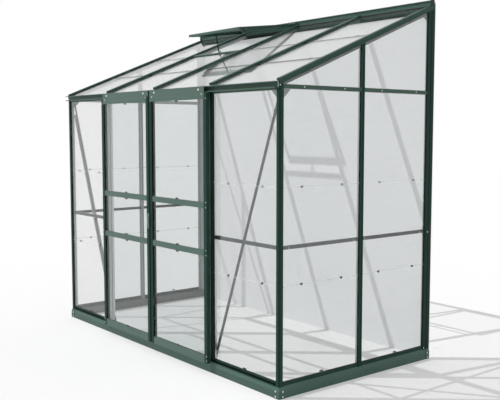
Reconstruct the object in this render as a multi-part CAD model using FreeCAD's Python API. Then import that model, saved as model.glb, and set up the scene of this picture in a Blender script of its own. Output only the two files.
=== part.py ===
import FreeCAD, Part
import math
import os

os.makedirs("parts", exist_ok=True)

# Lean-to greenhouse, in millimetres.
# +X runs along the low front, to the right as seen from the front.
# +Y runs from the front to the house wall, and +Z is up.
# The origin is on the ground, in the middle of the part's whole outline,
# which runs from the front of the door handle to the house wall.

# Overall layout
glazing_pitch = 610.0
front_bay_count = 4
gable_bay_count = 2
wall_allowance = 26.0
frame_setback = 2.0

# Base frame, a folded steel section
base_height = 65.0
base_sheet = 2.5
base_crease_drop = 21.0
base_top_lean = 5.0
base_top_round = 2.0
base_top_flange = 36.0
base_bottom_flange = 16.0
connector_leg = 42.0
connector_sheet = 2.0
connector_margin = 3.0
wall_bracket_leg = 34.0
base_screw_inset = 27.0
base_wall_screw_inset = 17.0
base_screw_low_z = 10.0
base_screw_crease_gap = 5.0
screw_shank_radius = 2.0
screw_hole_clearance = 0.1
screw_head_radius = 4.0
screw_head_height = 2.4
screw_length = 10.0

# Glazing sheet and the slots that hold it
pane_thickness = 4.0
slot_clearance = 0.4
pane_edge_gap = 1.0
seam_gap = 1.0

# Glazing bar section: an outer cap, a web, an inner flange and a bolt channel
cap_width = 28.0
cap_depth = 6.5
cap_chamfer = 1.5
groove_width = 5.0
groove_depth = 3.0
web_width = 6.0
flange_width = 36.0
flange_thickness = 2.2
channel_width = 16.0
channel_wall = 2.0
channel_mouth = 7.0
bar_depth = 33.0
fit_gap = 0.3

# Sills
sill_height = 20.0
sill_wall = 2.0
sill_face_recess = 4.5
sill_pane_rise = 8.0
sill_back_rise = 4.0
track_overhang = 1.0
track_lip = 3.0
track_web_depth = 9.0
track_tab = 6.0
track_back_rise = 5.0

# Corner post
post_core = 19.0
corner_notch = 8.0
corner_notch_step = 3.0
corner_inner_flange = 36.0

# Wall post
wall_post_width = 58.0
wall_post_groove_at = 26.0
wall_post_wall = 2.5
wall_post_slot_depth = 11.0
wall_post_back_lap = 4.0
wall_post_shoulder = 14.0

# Eave beam with the upper door track
eave_bottom_z = 1648.0
eave_height = 35.0
eave_lip_depth = 25.0
eave_bead = 4.0
eave_wall = 2.0
eave_front_tab = 8.0
eave_back_tab = 10.0
eave_lip_end_inset = 17.0
wall_pane_top_gap = 3.0

# Seams between the wall panes, above the ground
wall_seam_heights = (604.0, 1130.0)
seam_clip_offset = 151.0
seam_clip_width = 11.0
seam_clip_height = 12.0
seam_clip_sheet = 1.4
seam_clip_gap = 0.2

# Bars across the gables and the front
gable_eave_bar_drop = 1.0
gable_eave_bar_height = 21.0
gable_eave_bar_recess = 2.0
gable_eave_bar_web = 7.0
gable_eave_bar_lap = 2.0
middle_bar_z = 799.0
middle_bar_height = 20.0
middle_bar_wall = 2.0
middle_bar_depth = 14.0
middle_bar_inset = 17.0

# Front braces and gusset plates
brace_width = 20.0
brace_thickness = 3.0
brace_foot_rise = 3.0
brace_foot_offset = 6.0
brace_head_drop = 16.0
brace_head_inset = 36.0
gusset_leg_along = 58.0
gusset_leg_down = 56.0
gusset_sheet = 2.0
ridge_gusset_leg = 52.0

# Roof plane: it follows the outer faces of the roof bars
roof_pitch_deg = 21.8
roof_rise_over_eave = 12.0
roof_front_inset = 3.0
roof_pane_front_overhang = 4.2
roof_seam_inset_low = 351.0
roof_seam_inset_high = 727.0
rafter_skirt = 26.0
rafter_skirt_sheet = 2.5
rafter_bead = 1.2
rafter_depth = 43.0
rafter_foot = 6.5
rafter_web = 2.2
rafter_slot_base = 17.0

# Ridge bar against the house wall
ridge_over_roof = 33.0
ridge_height = 60.0
ridge_depth = 23.0
ridge_wall = 2.0
ridge_back_drop = 14.0
ridge_end_inset = 11.0
ridge_cap_sheet = 2.0
ridge_cap_rise = 10.0
ridge_cap_front = 10.0

# Roof vent hinge, in the front of the ridge bar
hinge_forward = 12.0
hinge_below_top = 9.0
hinge_bulb_radius = 4.0
hinge_running_clearance = 0.08
hinge_socket_wall = 2.0
hinge_mouth_start_deg = -178.0
hinge_mouth_end_deg = -87.0
hinge_mouth_reach = 4.0
hinge_neck = 2.5
hinge_bridge = 4.0

# Roof vent, as it lies when shut
vent_bay = 1
vent_open_deg = 14.8
vent_side_gap = 10.0
vent_length = 536.0
vent_thickness = 18.0
vent_seat_gap = 0.3
vent_rail_width = 24.0
vent_skin = 2.0
vent_slot_depth = 14.0
vent_hinge_rail_start = 8.0
vent_hinge_rail_width = 26.0

# Cross rail below the vent opening
cross_rail_lead = 10.0
cross_rail_width = 16.0
cross_rail_slot = 8.0
cross_rail_lap = 4.0
cross_rail_depth = 14.5

# Vent stay
stay_lean_deg = 11.8
stay_length = 155.0
stay_width = 10.0
stay_thickness = 3.0
stay_hole_radius = 2.6
stay_hole_pitch = 26.0
stay_hole_count = 4
stay_pin_radius = 2.0
stay_pin_clearance = 0.05
stay_pivot_inset = 30.0
stay_pivot_drop = 1.0
stay_ear = 2.2
stay_ear_gap = 0.3
stay_bracket_plate = 2.0
stay_bracket_start = 10.0
peg_radius = 2.3
peg_length = 14.0
peg_gap = 0.5
peg_plate = 2.5
peg_foot_width = 20.0

# Sliding door leaves, given outward from the outer face of the base
leaf_front = 40.0
leaf_back = 14.0
leaf_inner_edge = 3.0
leaf_outer_edge = 622.0
leaf_foot_drop = 1.0
leaf_top_gap = 4.0
stile_width = 30.0
stile_chamfer = 1.5
stile_slot_depth = 12.0
leaf_pane_front = 33.8
leaf_pane_inner_wall = 4.0
header_drop = 39.0
header_rise = 33.0
header_plate = 4.0
header_plate_inset = 6.0
header_outer_inset = 22.0
header_slot_wall = 6.0
header_slot_depth = 12.0
header_groove_width = 3.0
header_groove_depth = 0.8
header_groove_count = 2
rail_centre_heights = (717.0, 997.0)
rail_height = 34.0
rail_web = 8.0
rail_front_recess = 1.0
bottom_rail_drop = 2.0
bottom_rail_height = 44.0
bottom_rail_wall = 2.0
bottom_rail_slot = 10.0
bottom_rail_web = 7.0

# Door rollers, axles and guide shoes
roller_radius = 13.7
roller_bore_clearance = 0.05
roller_width = 12.0
roller_back = 8.0
roller_crown = 0.8
roller_inset_inner = 62.0
roller_inset_outer = 76.0
axle_radius = 3.0
axle_head_radius = 6.0
axle_head_height = 3.0
axle_nut_radius = 5.5
axle_nut_height = 4.0
spacer_radius = 5.0
axle_side_gap = 0.3
shoe_length = 36.0
shoe_inset = 14.0
shoe_height = 8.0
shoe_rise = 6.0
shoe_reach = 9.0

# Handle, cover strip, meeting seal and catch
cover_strip_width = 28.0
cover_strip_offset = 6.0
cover_strip_sheet = 3.0
handle_bottom_z = 804.0
handle_length = 96.0
handle_width = 30.0
handle_offset = 9.5
handle_foot = 16.0
handle_rise = 22.0
handle_sheet = 3.0
seal_width = 4.0
seal_depth = 16.0
catch_bottom_z = 312.0
catch_height = 54.0
catch_width = 10.0

# Values that follow from the sizes above
half_length = front_bay_count * glazing_pitch / 2
base_depth = gable_bay_count * glazing_pitch + wall_allowance
handle_front = leaf_front + cover_strip_sheet + handle_rise
wall_y = (base_depth + handle_front) / 2
front_y = wall_y - base_depth
frame_front_y = front_y + frame_setback
frame_side_x = half_length - frame_setback
frame_back_y = wall_y - frame_setback
slot_width = pane_thickness + 2 * slot_clearance
slot_back = cap_depth + slot_width
flange_back = slot_back + flange_thickness
pane_outer = cap_depth + slot_clearance
pane_inner = pane_outer + pane_thickness
base_crease_z = base_height - base_crease_drop
base_screw_high_z = base_crease_z - base_screw_crease_gap
sill_top_z = base_height + sill_height
eave_top_z = eave_bottom_z + eave_height
gable_eave_bar_z = eave_bottom_z - gable_eave_bar_drop
brace_foot_z = sill_top_z + brace_foot_rise
brace_head_z = eave_bottom_z - brace_head_drop
leaf_foot_z = base_height - leaf_foot_drop
header_bottom_z = eave_bottom_z - header_drop
header_top_z = eave_bottom_z + header_rise
bottom_rail_z = base_height - bottom_rail_drop
shoe_z = base_height + shoe_rise
door_post_x = glazing_pitch * (front_bay_count / 2 - 1)
middle_post_y = front_y + wall_allowance / 2 + glazing_pitch
wall_post_y = frame_back_y - wall_post_width
roof_pitch = math.radians(roof_pitch_deg)
roof_y = front_y + roof_front_inset
roof_z = eave_top_z + roof_rise_over_eave
ridge_front_y = wall_y - ridge_depth
ridge_top_z = roof_z + (ridge_front_y - roof_y) * math.tan(roof_pitch) + ridge_over_roof
ridge_bottom_z = ridge_top_z - ridge_height
hinge_y = ridge_front_y - hinge_forward
hinge_z = ridge_top_z - hinge_below_top
hinge_run = (hinge_y - roof_y) * math.cos(roof_pitch) + (hinge_z - roof_z) * math.sin(roof_pitch)
cross_rail_run = hinge_run - vent_length - cross_rail_lead
stay_bracket_width = stay_thickness + 2 * stay_ear_gap + 2 * stay_ear
corner_edge = frame_side_x - cap_width
reach = 4000.0

X = FreeCAD.Vector(1, 0, 0)
Y = FreeCAD.Vector(0, 1, 0)
Z = FreeCAD.Vector(0, 0, 1)
ORIGIN = FreeCAD.Vector(0, 0, 0)
SLOPE = FreeCAD.Vector(0, math.cos(roof_pitch), math.sin(roof_pitch))
NORMAL = FreeCAD.Vector(0, -math.sin(roof_pitch), math.cos(roof_pitch))
ROOF_START = FreeCAD.Vector(0, roof_y, roof_z)


# Drawing helpers

def wire_of(points, origin, across, along):
    """Closed wire from plane points, placed on the axes across and along."""
    corners = [origin + across * point[0] + along * point[1] for point in points]
    return Part.makePolygon(corners + [corners[0]])


def extrude(points, origin, across, along, sweep, hole=None):
    """Solid swept from a flat outline, with an optional hollow."""
    wires = [wire_of(points, origin, across, along)]
    if hole:
        wires.append(wire_of(hole, origin, across, along))
    face = Part.makeFace(wires, "Part::FaceMakerBullseye")
    return face.extrude(sweep)


def rectangle(low_a, low_b, high_a, high_b):
    """Four corners of a rectangle."""
    return [(low_a, low_b), (high_a, low_b), (high_a, high_b), (low_a, high_b)]


def block(low, high):
    """Box between two opposite corners."""
    corner = FreeCAD.Vector(*low)
    size = FreeCAD.Vector(*high) - corner
    return Part.makeBox(size.x, size.y, size.z, corner)


def mirrored(shape):
    """The same piece on the other side of the middle plane."""
    return shape.mirror(ORIGIN, X)


def sheet_section(path, thickness):
    """Outline of a folded sheet; a positive thickness lies right of the path."""
    offset = []
    last = len(path) - 1
    for index, point in enumerate(path):
        normals = []
        if index > 0:
            normals.append(right_normal(path[index - 1], point))
        if index < last:
            normals.append(right_normal(point, path[index + 1]))
        if len(normals) == 1:
            normal = normals[0]
            scale = thickness
        else:
            total = (normals[0][0] + normals[1][0], normals[0][1] + normals[1][1])
            size = math.hypot(total[0], total[1])
            normal = (total[0] / size, total[1] / size)
            cosine = normal[0] * normals[0][0] + normal[1] * normals[0][1]
            scale = thickness / cosine
        offset.append((point[0] + normal[0] * scale, point[1] + normal[1] * scale))
    return path + offset[::-1]


def right_normal(start, end):
    """Unit normal on the right of the step from start to end."""
    step = (end[0] - start[0], end[1] - start[1])
    size = math.hypot(step[0], step[1])
    return (step[1] / size, -step[0] / size)


def roof_height(y, offset=0.0):
    """Height of the roof plane over y, moved by offset along its normal."""
    return roof_z + (y - roof_y) * math.tan(roof_pitch) + offset / math.cos(roof_pitch)


def above_roof(offset, low_x, high_x):
    """Everything above the roof plane, moved by offset, between two x values."""
    start = ROOF_START + NORMAL * offset + X * low_x - SLOPE * reach
    outline = rectangle(0, 0, 2 * reach, reach)
    return extrude(outline, start, SLOPE, NORMAL, X * (high_x - low_x))


def cylinder(start, direction, radius, length):
    """Round bar from a start point."""
    return Part.makeCylinder(radius, length, start, direction)


def joined(pieces):
    """Fused solid with the seams between its pieces removed."""
    whole = pieces[0]
    for piece in pieces[1:]:
        whole = whole.fuse(piece)
    return whole.removeSplitter()


# Sections of the extrusions

def glazing_bar_section():
    """Symmetric glazing bar: across its width, and inward from its outer face."""
    right = [
        (groove_width / 2, groove_depth),
        (groove_width / 2, 0),
        (cap_width / 2 - cap_chamfer, 0),
        (cap_width / 2, cap_chamfer),
        (cap_width / 2, cap_depth),
        (web_width / 2, cap_depth),
        (web_width / 2, slot_back),
        (flange_width / 2, slot_back),
        (flange_width / 2, flange_back),
        (channel_width / 2, flange_back),
        (channel_width / 2, bar_depth),
        (channel_mouth / 2, bar_depth),
        (channel_mouth / 2, bar_depth - channel_wall),
        (channel_width / 2 - channel_wall, bar_depth - channel_wall),
        (channel_width / 2 - channel_wall, flange_back),
    ]
    left = [(-across, depth) for across, depth in reversed(right)]
    return right + left


def corner_post_section():
    """Corner post, inward from the gable face and inward from the front face."""
    core_end = flange_back + post_core
    half = [
        (corner_notch, corner_notch_step),
        (corner_notch, 0),
        (cap_width - cap_chamfer, 0),
        (cap_width, cap_chamfer),
        (cap_width, cap_depth),
        (flange_back, cap_depth),
        (flange_back, slot_back),
        (corner_inner_flange, slot_back),
        (corner_inner_flange, flange_back),
        (core_end, flange_back),
    ]
    other = [(b, a) for a, b in reversed(half)]
    corner = [(core_end, core_end)]
    return [(corner_notch_step, corner_notch_step)] + half + corner + other


def corner_post_hollow():
    """Hollow of the square core of the corner post."""
    start = flange_back + channel_wall
    end = flange_back + post_core - channel_wall
    return rectangle(start, start, end, end)


def wall_post_section():
    """Wall post, from its glazed edge to the wall, and inward from the gable face."""
    groove_end = wall_post_groove_at + groove_width
    return [
        (0, cap_chamfer),
        (cap_chamfer, 0),
        (wall_post_groove_at, 0),
        (wall_post_groove_at, groove_depth),
        (groove_end, groove_depth),
        (groove_end, 0),
        (wall_post_width, 0),
        (wall_post_width, bar_depth),
        (wall_post_shoulder, bar_depth),
        (wall_post_shoulder, flange_back),
        (-wall_post_back_lap, flange_back),
        (-wall_post_back_lap, slot_back),
        (wall_post_slot_depth, slot_back),
        (wall_post_slot_depth, cap_depth),
        (0, cap_depth),
    ]


def wall_post_hollow():
    """Hollow of the wall post."""
    start = wall_post_shoulder + wall_post_wall
    end = wall_post_width - wall_post_wall
    return rectangle(start, slot_back, end, bar_depth - wall_post_wall)


def rafter_section():
    """Gable rafter, inward from the gable face and along the roof normal."""
    bead_top = rafter_skirt - rafter_skirt_sheet
    inner_flange = cap_width / 2 + flange_width / 2
    web_back = slot_back + rafter_web
    return [
        (cap_chamfer, 0),
        (cap_width - cap_chamfer, 0),
        (cap_width, -cap_chamfer),
        (cap_width, -cap_depth),
        (rafter_slot_base, -cap_depth),
        (rafter_slot_base, -slot_back),
        (inner_flange, -slot_back),
        (inner_flange, -flange_back),
        (web_back, -flange_back),
        (web_back, -rafter_depth + flange_thickness),
        (web_back + rafter_foot, -rafter_depth + flange_thickness),
        (web_back + rafter_foot, -rafter_depth),
        (slot_back, -rafter_depth),
        (slot_back, -cap_depth),
        (rafter_skirt_sheet, -cap_depth),
        (rafter_skirt_sheet, -rafter_skirt),
        (-rafter_bead, -rafter_skirt),
        (-rafter_bead, -bead_top),
        (0, -bead_top + rafter_bead),
        (0, -cap_chamfer),
    ]


def eave_channel_section():
    """Front channel of the eave beam: the door track, inward and upward."""
    inner_bottom = eave_bottom_z + eave_wall
    inner_top = eave_top_z - eave_wall
    lip = -eave_lip_depth
    return [
        (lip, eave_bottom_z),
        (eave_wall, eave_bottom_z),
        (eave_wall, eave_top_z),
        (lip, eave_top_z),
        (lip, inner_top - eave_bead),
        (lip + eave_wall, inner_top - eave_bead),
        (lip + eave_wall, inner_top),
        (0, inner_top),
        (0, inner_bottom),
        (lip + eave_wall, inner_bottom),
        (lip + eave_wall, inner_bottom + eave_bead),
        (lip, inner_bottom + eave_bead),
    ]


def eave_box_section():
    """Rear box of the eave beam, with the slot for the tops of the wall panes."""
    slot_front = frame_setback + cap_depth
    slot_rear = frame_setback + slot_back
    back = frame_setback + flange_back
    return [
        (0, eave_bottom_z),
        (slot_front - eave_wall, eave_bottom_z),
        (slot_front - eave_wall, eave_bottom_z - eave_front_tab),
        (slot_front, eave_bottom_z - eave_front_tab),
        (slot_front, eave_bottom_z),
        (slot_rear, eave_bottom_z),
        (slot_rear, eave_bottom_z - eave_back_tab),
        (back, eave_bottom_z - eave_back_tab),
        (back, eave_top_z),
        (0, eave_top_z),
    ]


def eave_box_hollow():
    """Hollow of the rear box of the eave beam."""
    back = frame_setback + flange_back - eave_wall
    return rectangle(eave_wall, eave_bottom_z + eave_wall, back, eave_top_z - eave_wall)


def base_face_path():
    """Face of the base section, inward and upward, from the ground to its top edge."""
    return [(0, 0), (0, base_crease_z), (base_top_lean, base_height - base_top_round)]


def base_path():
    """Outer skin of the base section, inward and upward, from its bottom flange."""
    top = [(base_top_lean + base_top_round, base_height), (base_top_flange, base_height)]
    return [(base_bottom_flange, 0)] + base_face_path() + top


# Base frame

def corner_wedge(keep_front):
    """Space on one side of the mitre plane at the front right corner."""
    corner = (half_length, front_y)
    inner = (half_length - reach, front_y + reach)
    if keep_front:
        outline = [corner, (half_length + reach, front_y - reach), (half_length + reach, inner[1]), inner]
    else:
        outline = [corner, inner, (inner[0], front_y - reach), (half_length + reach, front_y - reach)]
    return extrude(outline, -Z * reach, X, Y, Z * 2 * reach)


def mitred_front(shape):
    """Front run cut at both front corners."""
    cut = shape.cut(corner_wedge(True))
    return cut.cut(mirrored(corner_wedge(True)))


def base_screw_places():
    """Foot point and outward direction of every base screw on the right half."""
    places = []
    for height in (base_screw_low_z, base_screw_high_z):
        skin = connector_sheet
        front = FreeCAD.Vector(half_length - base_screw_inset, front_y - skin, height)
        side = FreeCAD.Vector(half_length + skin, front_y + base_screw_inset, height)
        back = FreeCAD.Vector(half_length + skin, wall_y - base_wall_screw_inset, height)
        places.append((front, -Y))
        places.append((side, X))
        places.append((back, X))
    return places


def drilled_for_base_screws(shape):
    """Shape with the clearance holes of the base screws."""
    radius = screw_shank_radius + screw_hole_clearance
    for foot, outward in base_screw_places():
        hole = cylinder(foot + outward, -outward, radius, screw_length + screw_head_height)
        shape = shape.cut(hole)
        shape = shape.cut(mirrored(hole))
    return shape


def base_front_rail():
    """Front run of the base, mitred at both ends."""
    section = sheet_section(base_path(), base_sheet)
    start = FreeCAD.Vector(-half_length, front_y, 0)
    run = extrude(section, start, Y, Z, X * 2 * half_length)
    return drilled_for_base_screws(mitred_front(run))


def base_gable_rail():
    """Right run of the base, mitred at the front and square at the wall."""
    section = sheet_section(base_path(), base_sheet)
    start = FreeCAD.Vector(half_length, front_y, 0)
    run = extrude(section, start, -X, Z, Y * (wall_y - front_y))
    return drilled_for_base_screws(run.cut(corner_wedge(False)))


def connector_section():
    """Outer skin of a base connector: it follows the face of the base."""
    return sheet_section(base_face_path(), -connector_sheet)


def base_corner_connector():
    """Folded plate round the front right corner of the base."""
    outer = FreeCAD.Vector(half_length, front_y, 0)
    margin = connector_sheet + connector_margin
    front_start = outer - X * connector_leg
    front = extrude(connector_section(), front_start, Y, Z, X * (connector_leg + margin))
    side_start = outer - Y * margin
    side = extrude(connector_section(), side_start, -X, Z, Y * (connector_leg + margin))
    front = front.cut(corner_wedge(True))
    side = side.cut(corner_wedge(False))
    return drilled_for_base_screws(joined([front, side]))


def base_wall_bracket():
    """Plate at the wall end of the right base run, with a leg against the wall."""
    start = FreeCAD.Vector(half_length, wall_y - wall_bracket_leg, 0)
    skin = extrude(connector_section(), start, -X, Z, Y * wall_bracket_leg)
    return drilled_for_base_screws(skin)


def pan_screw(foot, outward):
    """Pan-head screw: its head stands on the foot point."""
    shank = cylinder(foot, -outward, screw_shank_radius, screw_length)
    top_radius = screw_head_radius - screw_head_height / 2
    head = Part.makeCone(screw_head_radius, top_radius, screw_head_height, foot, outward)
    return joined([shank, head])


def base_screws():
    """All screws of the base connectors and brackets."""
    right = [pan_screw(foot, outward) for foot, outward in base_screw_places()]
    return Part.makeCompound(right + [mirrored(screw) for screw in right])


# Sills and posts

def front_sill():
    """Front sill: a channel open to the front, under the glazing slot."""
    slot_front = cap_depth
    tab_top = sill_top_z + track_tab
    section = [
        (-track_overhang, base_height),
        (bar_depth, base_height),
        (bar_depth, base_height + sill_wall),
        (track_web_depth + sill_wall, base_height + sill_wall),
        (track_web_depth + sill_wall, sill_top_z - sill_wall),
        (flange_back, sill_top_z - sill_wall),
        (flange_back, sill_top_z + track_back_rise),
        (slot_back, sill_top_z + track_back_rise),
        (slot_back, sill_top_z),
        (slot_front, sill_top_z),
        (slot_front, tab_top),
        (slot_front - sill_wall, tab_top),
        (slot_front - sill_wall, sill_top_z),
        (-track_overhang, sill_top_z),
        (-track_overhang, sill_top_z - sill_wall),
        (track_web_depth, sill_top_z - sill_wall),
        (track_web_depth, base_height + sill_wall),
        (sill_wall - track_overhang, base_height + sill_wall),
        (sill_wall - track_overhang, base_height + sill_wall + track_lip),
        (-track_overhang, base_height + sill_wall + track_lip),
    ]
    end = frame_side_x - corner_inner_flange
    start = FreeCAD.Vector(-end, frame_front_y, 0)
    return extrude(section, start, Y, Z, X * 2 * end)


def gable_sill_section():
    """Gable sill, inward from the gable face and upward."""
    return [
        (sill_face_recess, base_height),
        (bar_depth, base_height),
        (bar_depth, base_height + sill_wall),
        (flange_back, base_height + sill_wall),
        (flange_back, sill_top_z + sill_back_rise),
        (slot_back, sill_top_z + sill_back_rise),
        (slot_back, base_height + sill_pane_rise),
        (cap_depth, base_height + sill_pane_rise),
        (cap_depth, sill_top_z),
        (sill_face_recess, sill_top_z),
    ]


def gable_spans():
    """Clear y ranges between the inner flanges of the right gable's posts."""
    first = (frame_front_y + corner_inner_flange, middle_post_y - flange_width / 2)
    second = (middle_post_y + flange_width / 2, wall_post_y - wall_post_back_lap)
    return (first, second)


def gable_cap_spans():
    """Clear y ranges between the outer caps of the right gable's posts."""
    first = (frame_front_y + cap_width, middle_post_y - cap_width / 2)
    second = (middle_post_y + cap_width / 2, wall_post_y)
    return (first, second)


def gable_run(section, span):
    """Straight piece along the right gable, from a section inward and upward."""
    start = FreeCAD.Vector(frame_side_x, span[0], 0)
    return extrude(section, start, -X, Z, Y * (span[1] - span[0]))


def gable_sills():
    """The two sills of the right gable."""
    return [gable_run(gable_sill_section(), span) for span in gable_spans()]


def under_rafter(post):
    """Right gable post cut to the skirt, and its inner part to the rafter's foot."""
    outer_x = half_length + reach
    inner_x = frame_side_x - slot_back + fit_gap
    post = post.cut(above_roof(-rafter_skirt - fit_gap, half_length - 2 * bar_depth, outer_x))
    return post.cut(above_roof(-rafter_depth - fit_gap, half_length - 2 * bar_depth, inner_x))


def corner_post():
    """Front right corner post, from the base to the rafter."""
    start = FreeCAD.Vector(frame_side_x, frame_front_y, base_height)
    rise = Z * (eave_top_z - base_height)
    post = extrude(corner_post_section(), start, -X, Y, rise, corner_post_hollow())
    return under_rafter(post)


def gable_middle_post():
    """Middle post of the right gable."""
    start = FreeCAD.Vector(frame_side_x, middle_post_y, base_height)
    rise = Z * (roof_height(middle_post_y + cap_width) - base_height)
    post = extrude(glazing_bar_section(), start, Y, -X, rise)
    return under_rafter(post)


def wall_post():
    """Right post against the house wall."""
    start = FreeCAD.Vector(frame_side_x, wall_post_y, base_height)
    rise = Z * (roof_height(wall_y) - base_height)
    post = extrude(wall_post_section(), start, Y, -X, rise, wall_post_hollow())
    return under_rafter(post)


def door_post():
    """Front glazing bar at the right end of the door opening."""
    start = FreeCAD.Vector(door_post_x, frame_front_y, sill_top_z)
    top = eave_bottom_z - eave_back_tab - fit_gap
    post = extrude(glazing_bar_section(), start, X, Y, Z * (eave_bottom_z - sill_top_z))
    low = (door_post_x - flange_width, frame_front_y + slot_back - fit_gap, top)
    high = (door_post_x + flange_width, frame_front_y + 2 * bar_depth, eave_top_z)
    post = post.cut(block(low, high))
    seat_top = sill_top_z + track_back_rise + fit_gap
    low = (low[0], frame_front_y + slot_back - fit_gap, base_height)
    high = (high[0], frame_front_y + flange_back + fit_gap, seat_top)
    post = post.cut(block(low, high))
    tab_low = (low[0], frame_front_y + cap_depth - sill_wall - fit_gap, base_height)
    tab_high = (high[0], frame_front_y + cap_depth + fit_gap, sill_top_z + track_tab + fit_gap)
    post = post.cut(block(tab_low, tab_high))
    eave_low = (low[0], tab_low[1], eave_bottom_z - eave_front_tab - fit_gap)
    eave_high = (high[0], tab_high[1], eave_top_z)
    return post.cut(block(eave_low, eave_high))


# Eave beam and cross bars

def eave_track_beam():
    """Eave beam: the door track in front, the glazing slot behind."""
    lip_end = half_length - eave_lip_end_inset
    channel_start = FreeCAD.Vector(-lip_end, front_y, 0)
    channel = extrude(eave_channel_section(), channel_start, Y, Z, X * 2 * lip_end)
    box_end = frame_side_x - corner_inner_flange
    box_start = FreeCAD.Vector(-box_end, front_y, 0)
    box = extrude(eave_box_section(), box_start, Y, Z, X * 2 * box_end, eave_box_hollow())
    beam = joined([channel, box])
    trim_low = frame_side_x - cap_width
    for side in (-1, 1):
        edges = sorted((side * trim_low, side * (half_length + reach)))
        low = (edges[0], frame_front_y, eave_bottom_z - eave_back_tab)
        high = (edges[1], frame_front_y + bar_depth, eave_top_z + fit_gap)
        beam = beam.cut(block(low, high))
    return beam


def gable_eave_bars():
    """The two bars of the right gable level with the eave, each an H section."""
    top = gable_eave_bar_z + gable_eave_bar_height
    middle = gable_eave_bar_z + gable_eave_bar_height / 2
    outer = rectangle(gable_eave_bar_recess, gable_eave_bar_z, cap_depth, top)
    web_low = middle - gable_eave_bar_web / 2
    web_high = middle + gable_eave_bar_web / 2
    web = rectangle(cap_depth, web_low, slot_back, web_high)
    back_low = gable_eave_bar_z - gable_eave_bar_lap
    back = rectangle(slot_back, back_low, flange_back, top + gable_eave_bar_lap)
    bars = []
    for span, cap_span in zip(gable_spans(), gable_cap_spans()):
        parts = [gable_run(outer, cap_span), gable_run(web, cap_span), gable_run(back, span)]
        bars.append(under_rafter(joined(parts)))
    return bars


def middle_bar_section():
    """Channel section of a middle bar, inward and upward."""
    start = middle_bar_inset
    end = middle_bar_inset + middle_bar_depth
    top = middle_bar_z + middle_bar_height
    return [
        (start, middle_bar_z),
        (end, middle_bar_z),
        (end, middle_bar_z + middle_bar_wall),
        (start + middle_bar_wall, middle_bar_z + middle_bar_wall),
        (start + middle_bar_wall, top - middle_bar_wall),
        (end, top - middle_bar_wall),
        (end, top),
        (start, top),
    ]


def gable_middle_bars():
    """The two middle bars of the right gable, between the posts."""
    core = frame_front_y + flange_back + post_core
    first = (core, middle_post_y - channel_width / 2)
    second = (middle_post_y + channel_width / 2, wall_post_y + wall_post_shoulder)
    return [gable_run(middle_bar_section(), span) for span in (first, second)]


def front_middle_bar():
    """Middle bar of the right front bay."""
    start_x = door_post_x + channel_width / 2
    end_x = frame_side_x - flange_back - post_core
    start = FreeCAD.Vector(start_x, frame_front_y, 0)
    return extrude(middle_bar_section(), start, Y, Z, X * (end_x - start_x))


def front_brace():
    """Flat diagonal from the foot of the right door post to the corner post."""
    foot = (door_post_x - brace_foot_offset, brace_foot_z)
    head = (frame_side_x - brace_head_inset, brace_head_z)
    length = math.hypot(head[0] - foot[0], head[1] - foot[1])
    angle = math.degrees(math.atan2(head[1] - foot[1], head[0] - foot[0]))
    radius = brace_width / 2
    plane_y = frame_front_y + bar_depth
    body = block((0, 0, -radius), (length, brace_thickness, radius))
    ends = [cylinder(X * at, Y, radius, brace_thickness) for at in (0, length)]
    brace = joined([body] + ends)
    brace.rotate(ORIGIN, Y, -angle)
    brace.translate(FreeCAD.Vector(foot[0], plane_y, foot[1]))
    return brace


def gusset_plates():
    """Gusset plates of the right half: two at the eave, one below the ridge."""
    core = flange_back + post_core + fit_gap
    top = eave_bottom_z - fit_gap
    low = top - gusset_leg_down
    front_start = FreeCAD.Vector(frame_side_x - core, frame_front_y + flange_back, 0)
    triangle = [(0, low), (0, top), (gusset_leg_along, top)]
    front = extrude(triangle, front_start, -X, Z, Y * gusset_sheet)
    side_start = FreeCAD.Vector(frame_side_x - flange_back, frame_front_y + core, 0)
    side = extrude(triangle, side_start, Y, Z, -X * gusset_sheet)
    edge_y = wall_post_y + wall_post_shoulder - fit_gap
    edge_z = roof_height(edge_y, -rafter_depth + flange_thickness)
    far_y = edge_y - ridge_gusset_leg
    far_z = roof_height(far_y, -rafter_depth + flange_thickness)
    inner_x = frame_side_x - slot_back - rafter_web
    points = [(edge_y, edge_z - ridge_gusset_leg), (edge_y, edge_z), (far_y, far_z)]
    ridge_start = FreeCAD.Vector(inner_x, 0, 0)
    ridge = extrude(points, ridge_start, Y, Z, -X * gusset_sheet)
    foot_low = -rafter_depth - fit_gap
    foot_high = -rafter_depth + flange_thickness + fit_gap
    foot_box = extrude(rectangle(-reach, foot_low, reach, foot_high), ROOF_START, SLOPE, NORMAL, X * reach)
    return [front, side, ridge.cut(foot_box)]


# Roof frame

def between_eave_and_wall(shape, back_y):
    """Roof piece cut upright at the eave and at its upper end."""
    low = (-reach, roof_y, 0)
    high = (reach, back_y, 2 * reach)
    return shape.common(block(low, high))


def clear_of_eave(shape):
    """Roof piece cut back where the eave beam passes under it."""
    low = (-reach, front_y - reach, 0)
    high = (reach, frame_front_y + flange_back, eave_top_z + fit_gap)
    return shape.cut(block(low, high))


def roof_bar(x):
    """Roof glazing bar between the eave and the ridge."""
    start = ROOF_START + X * x - SLOPE * bar_depth
    length = (wall_y - front_y) / math.cos(roof_pitch) + 2 * bar_depth
    bar = extrude(glazing_bar_section(), start, X, -NORMAL, SLOPE * length)
    return clear_of_eave(between_eave_and_wall(bar, ridge_front_y))


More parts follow.
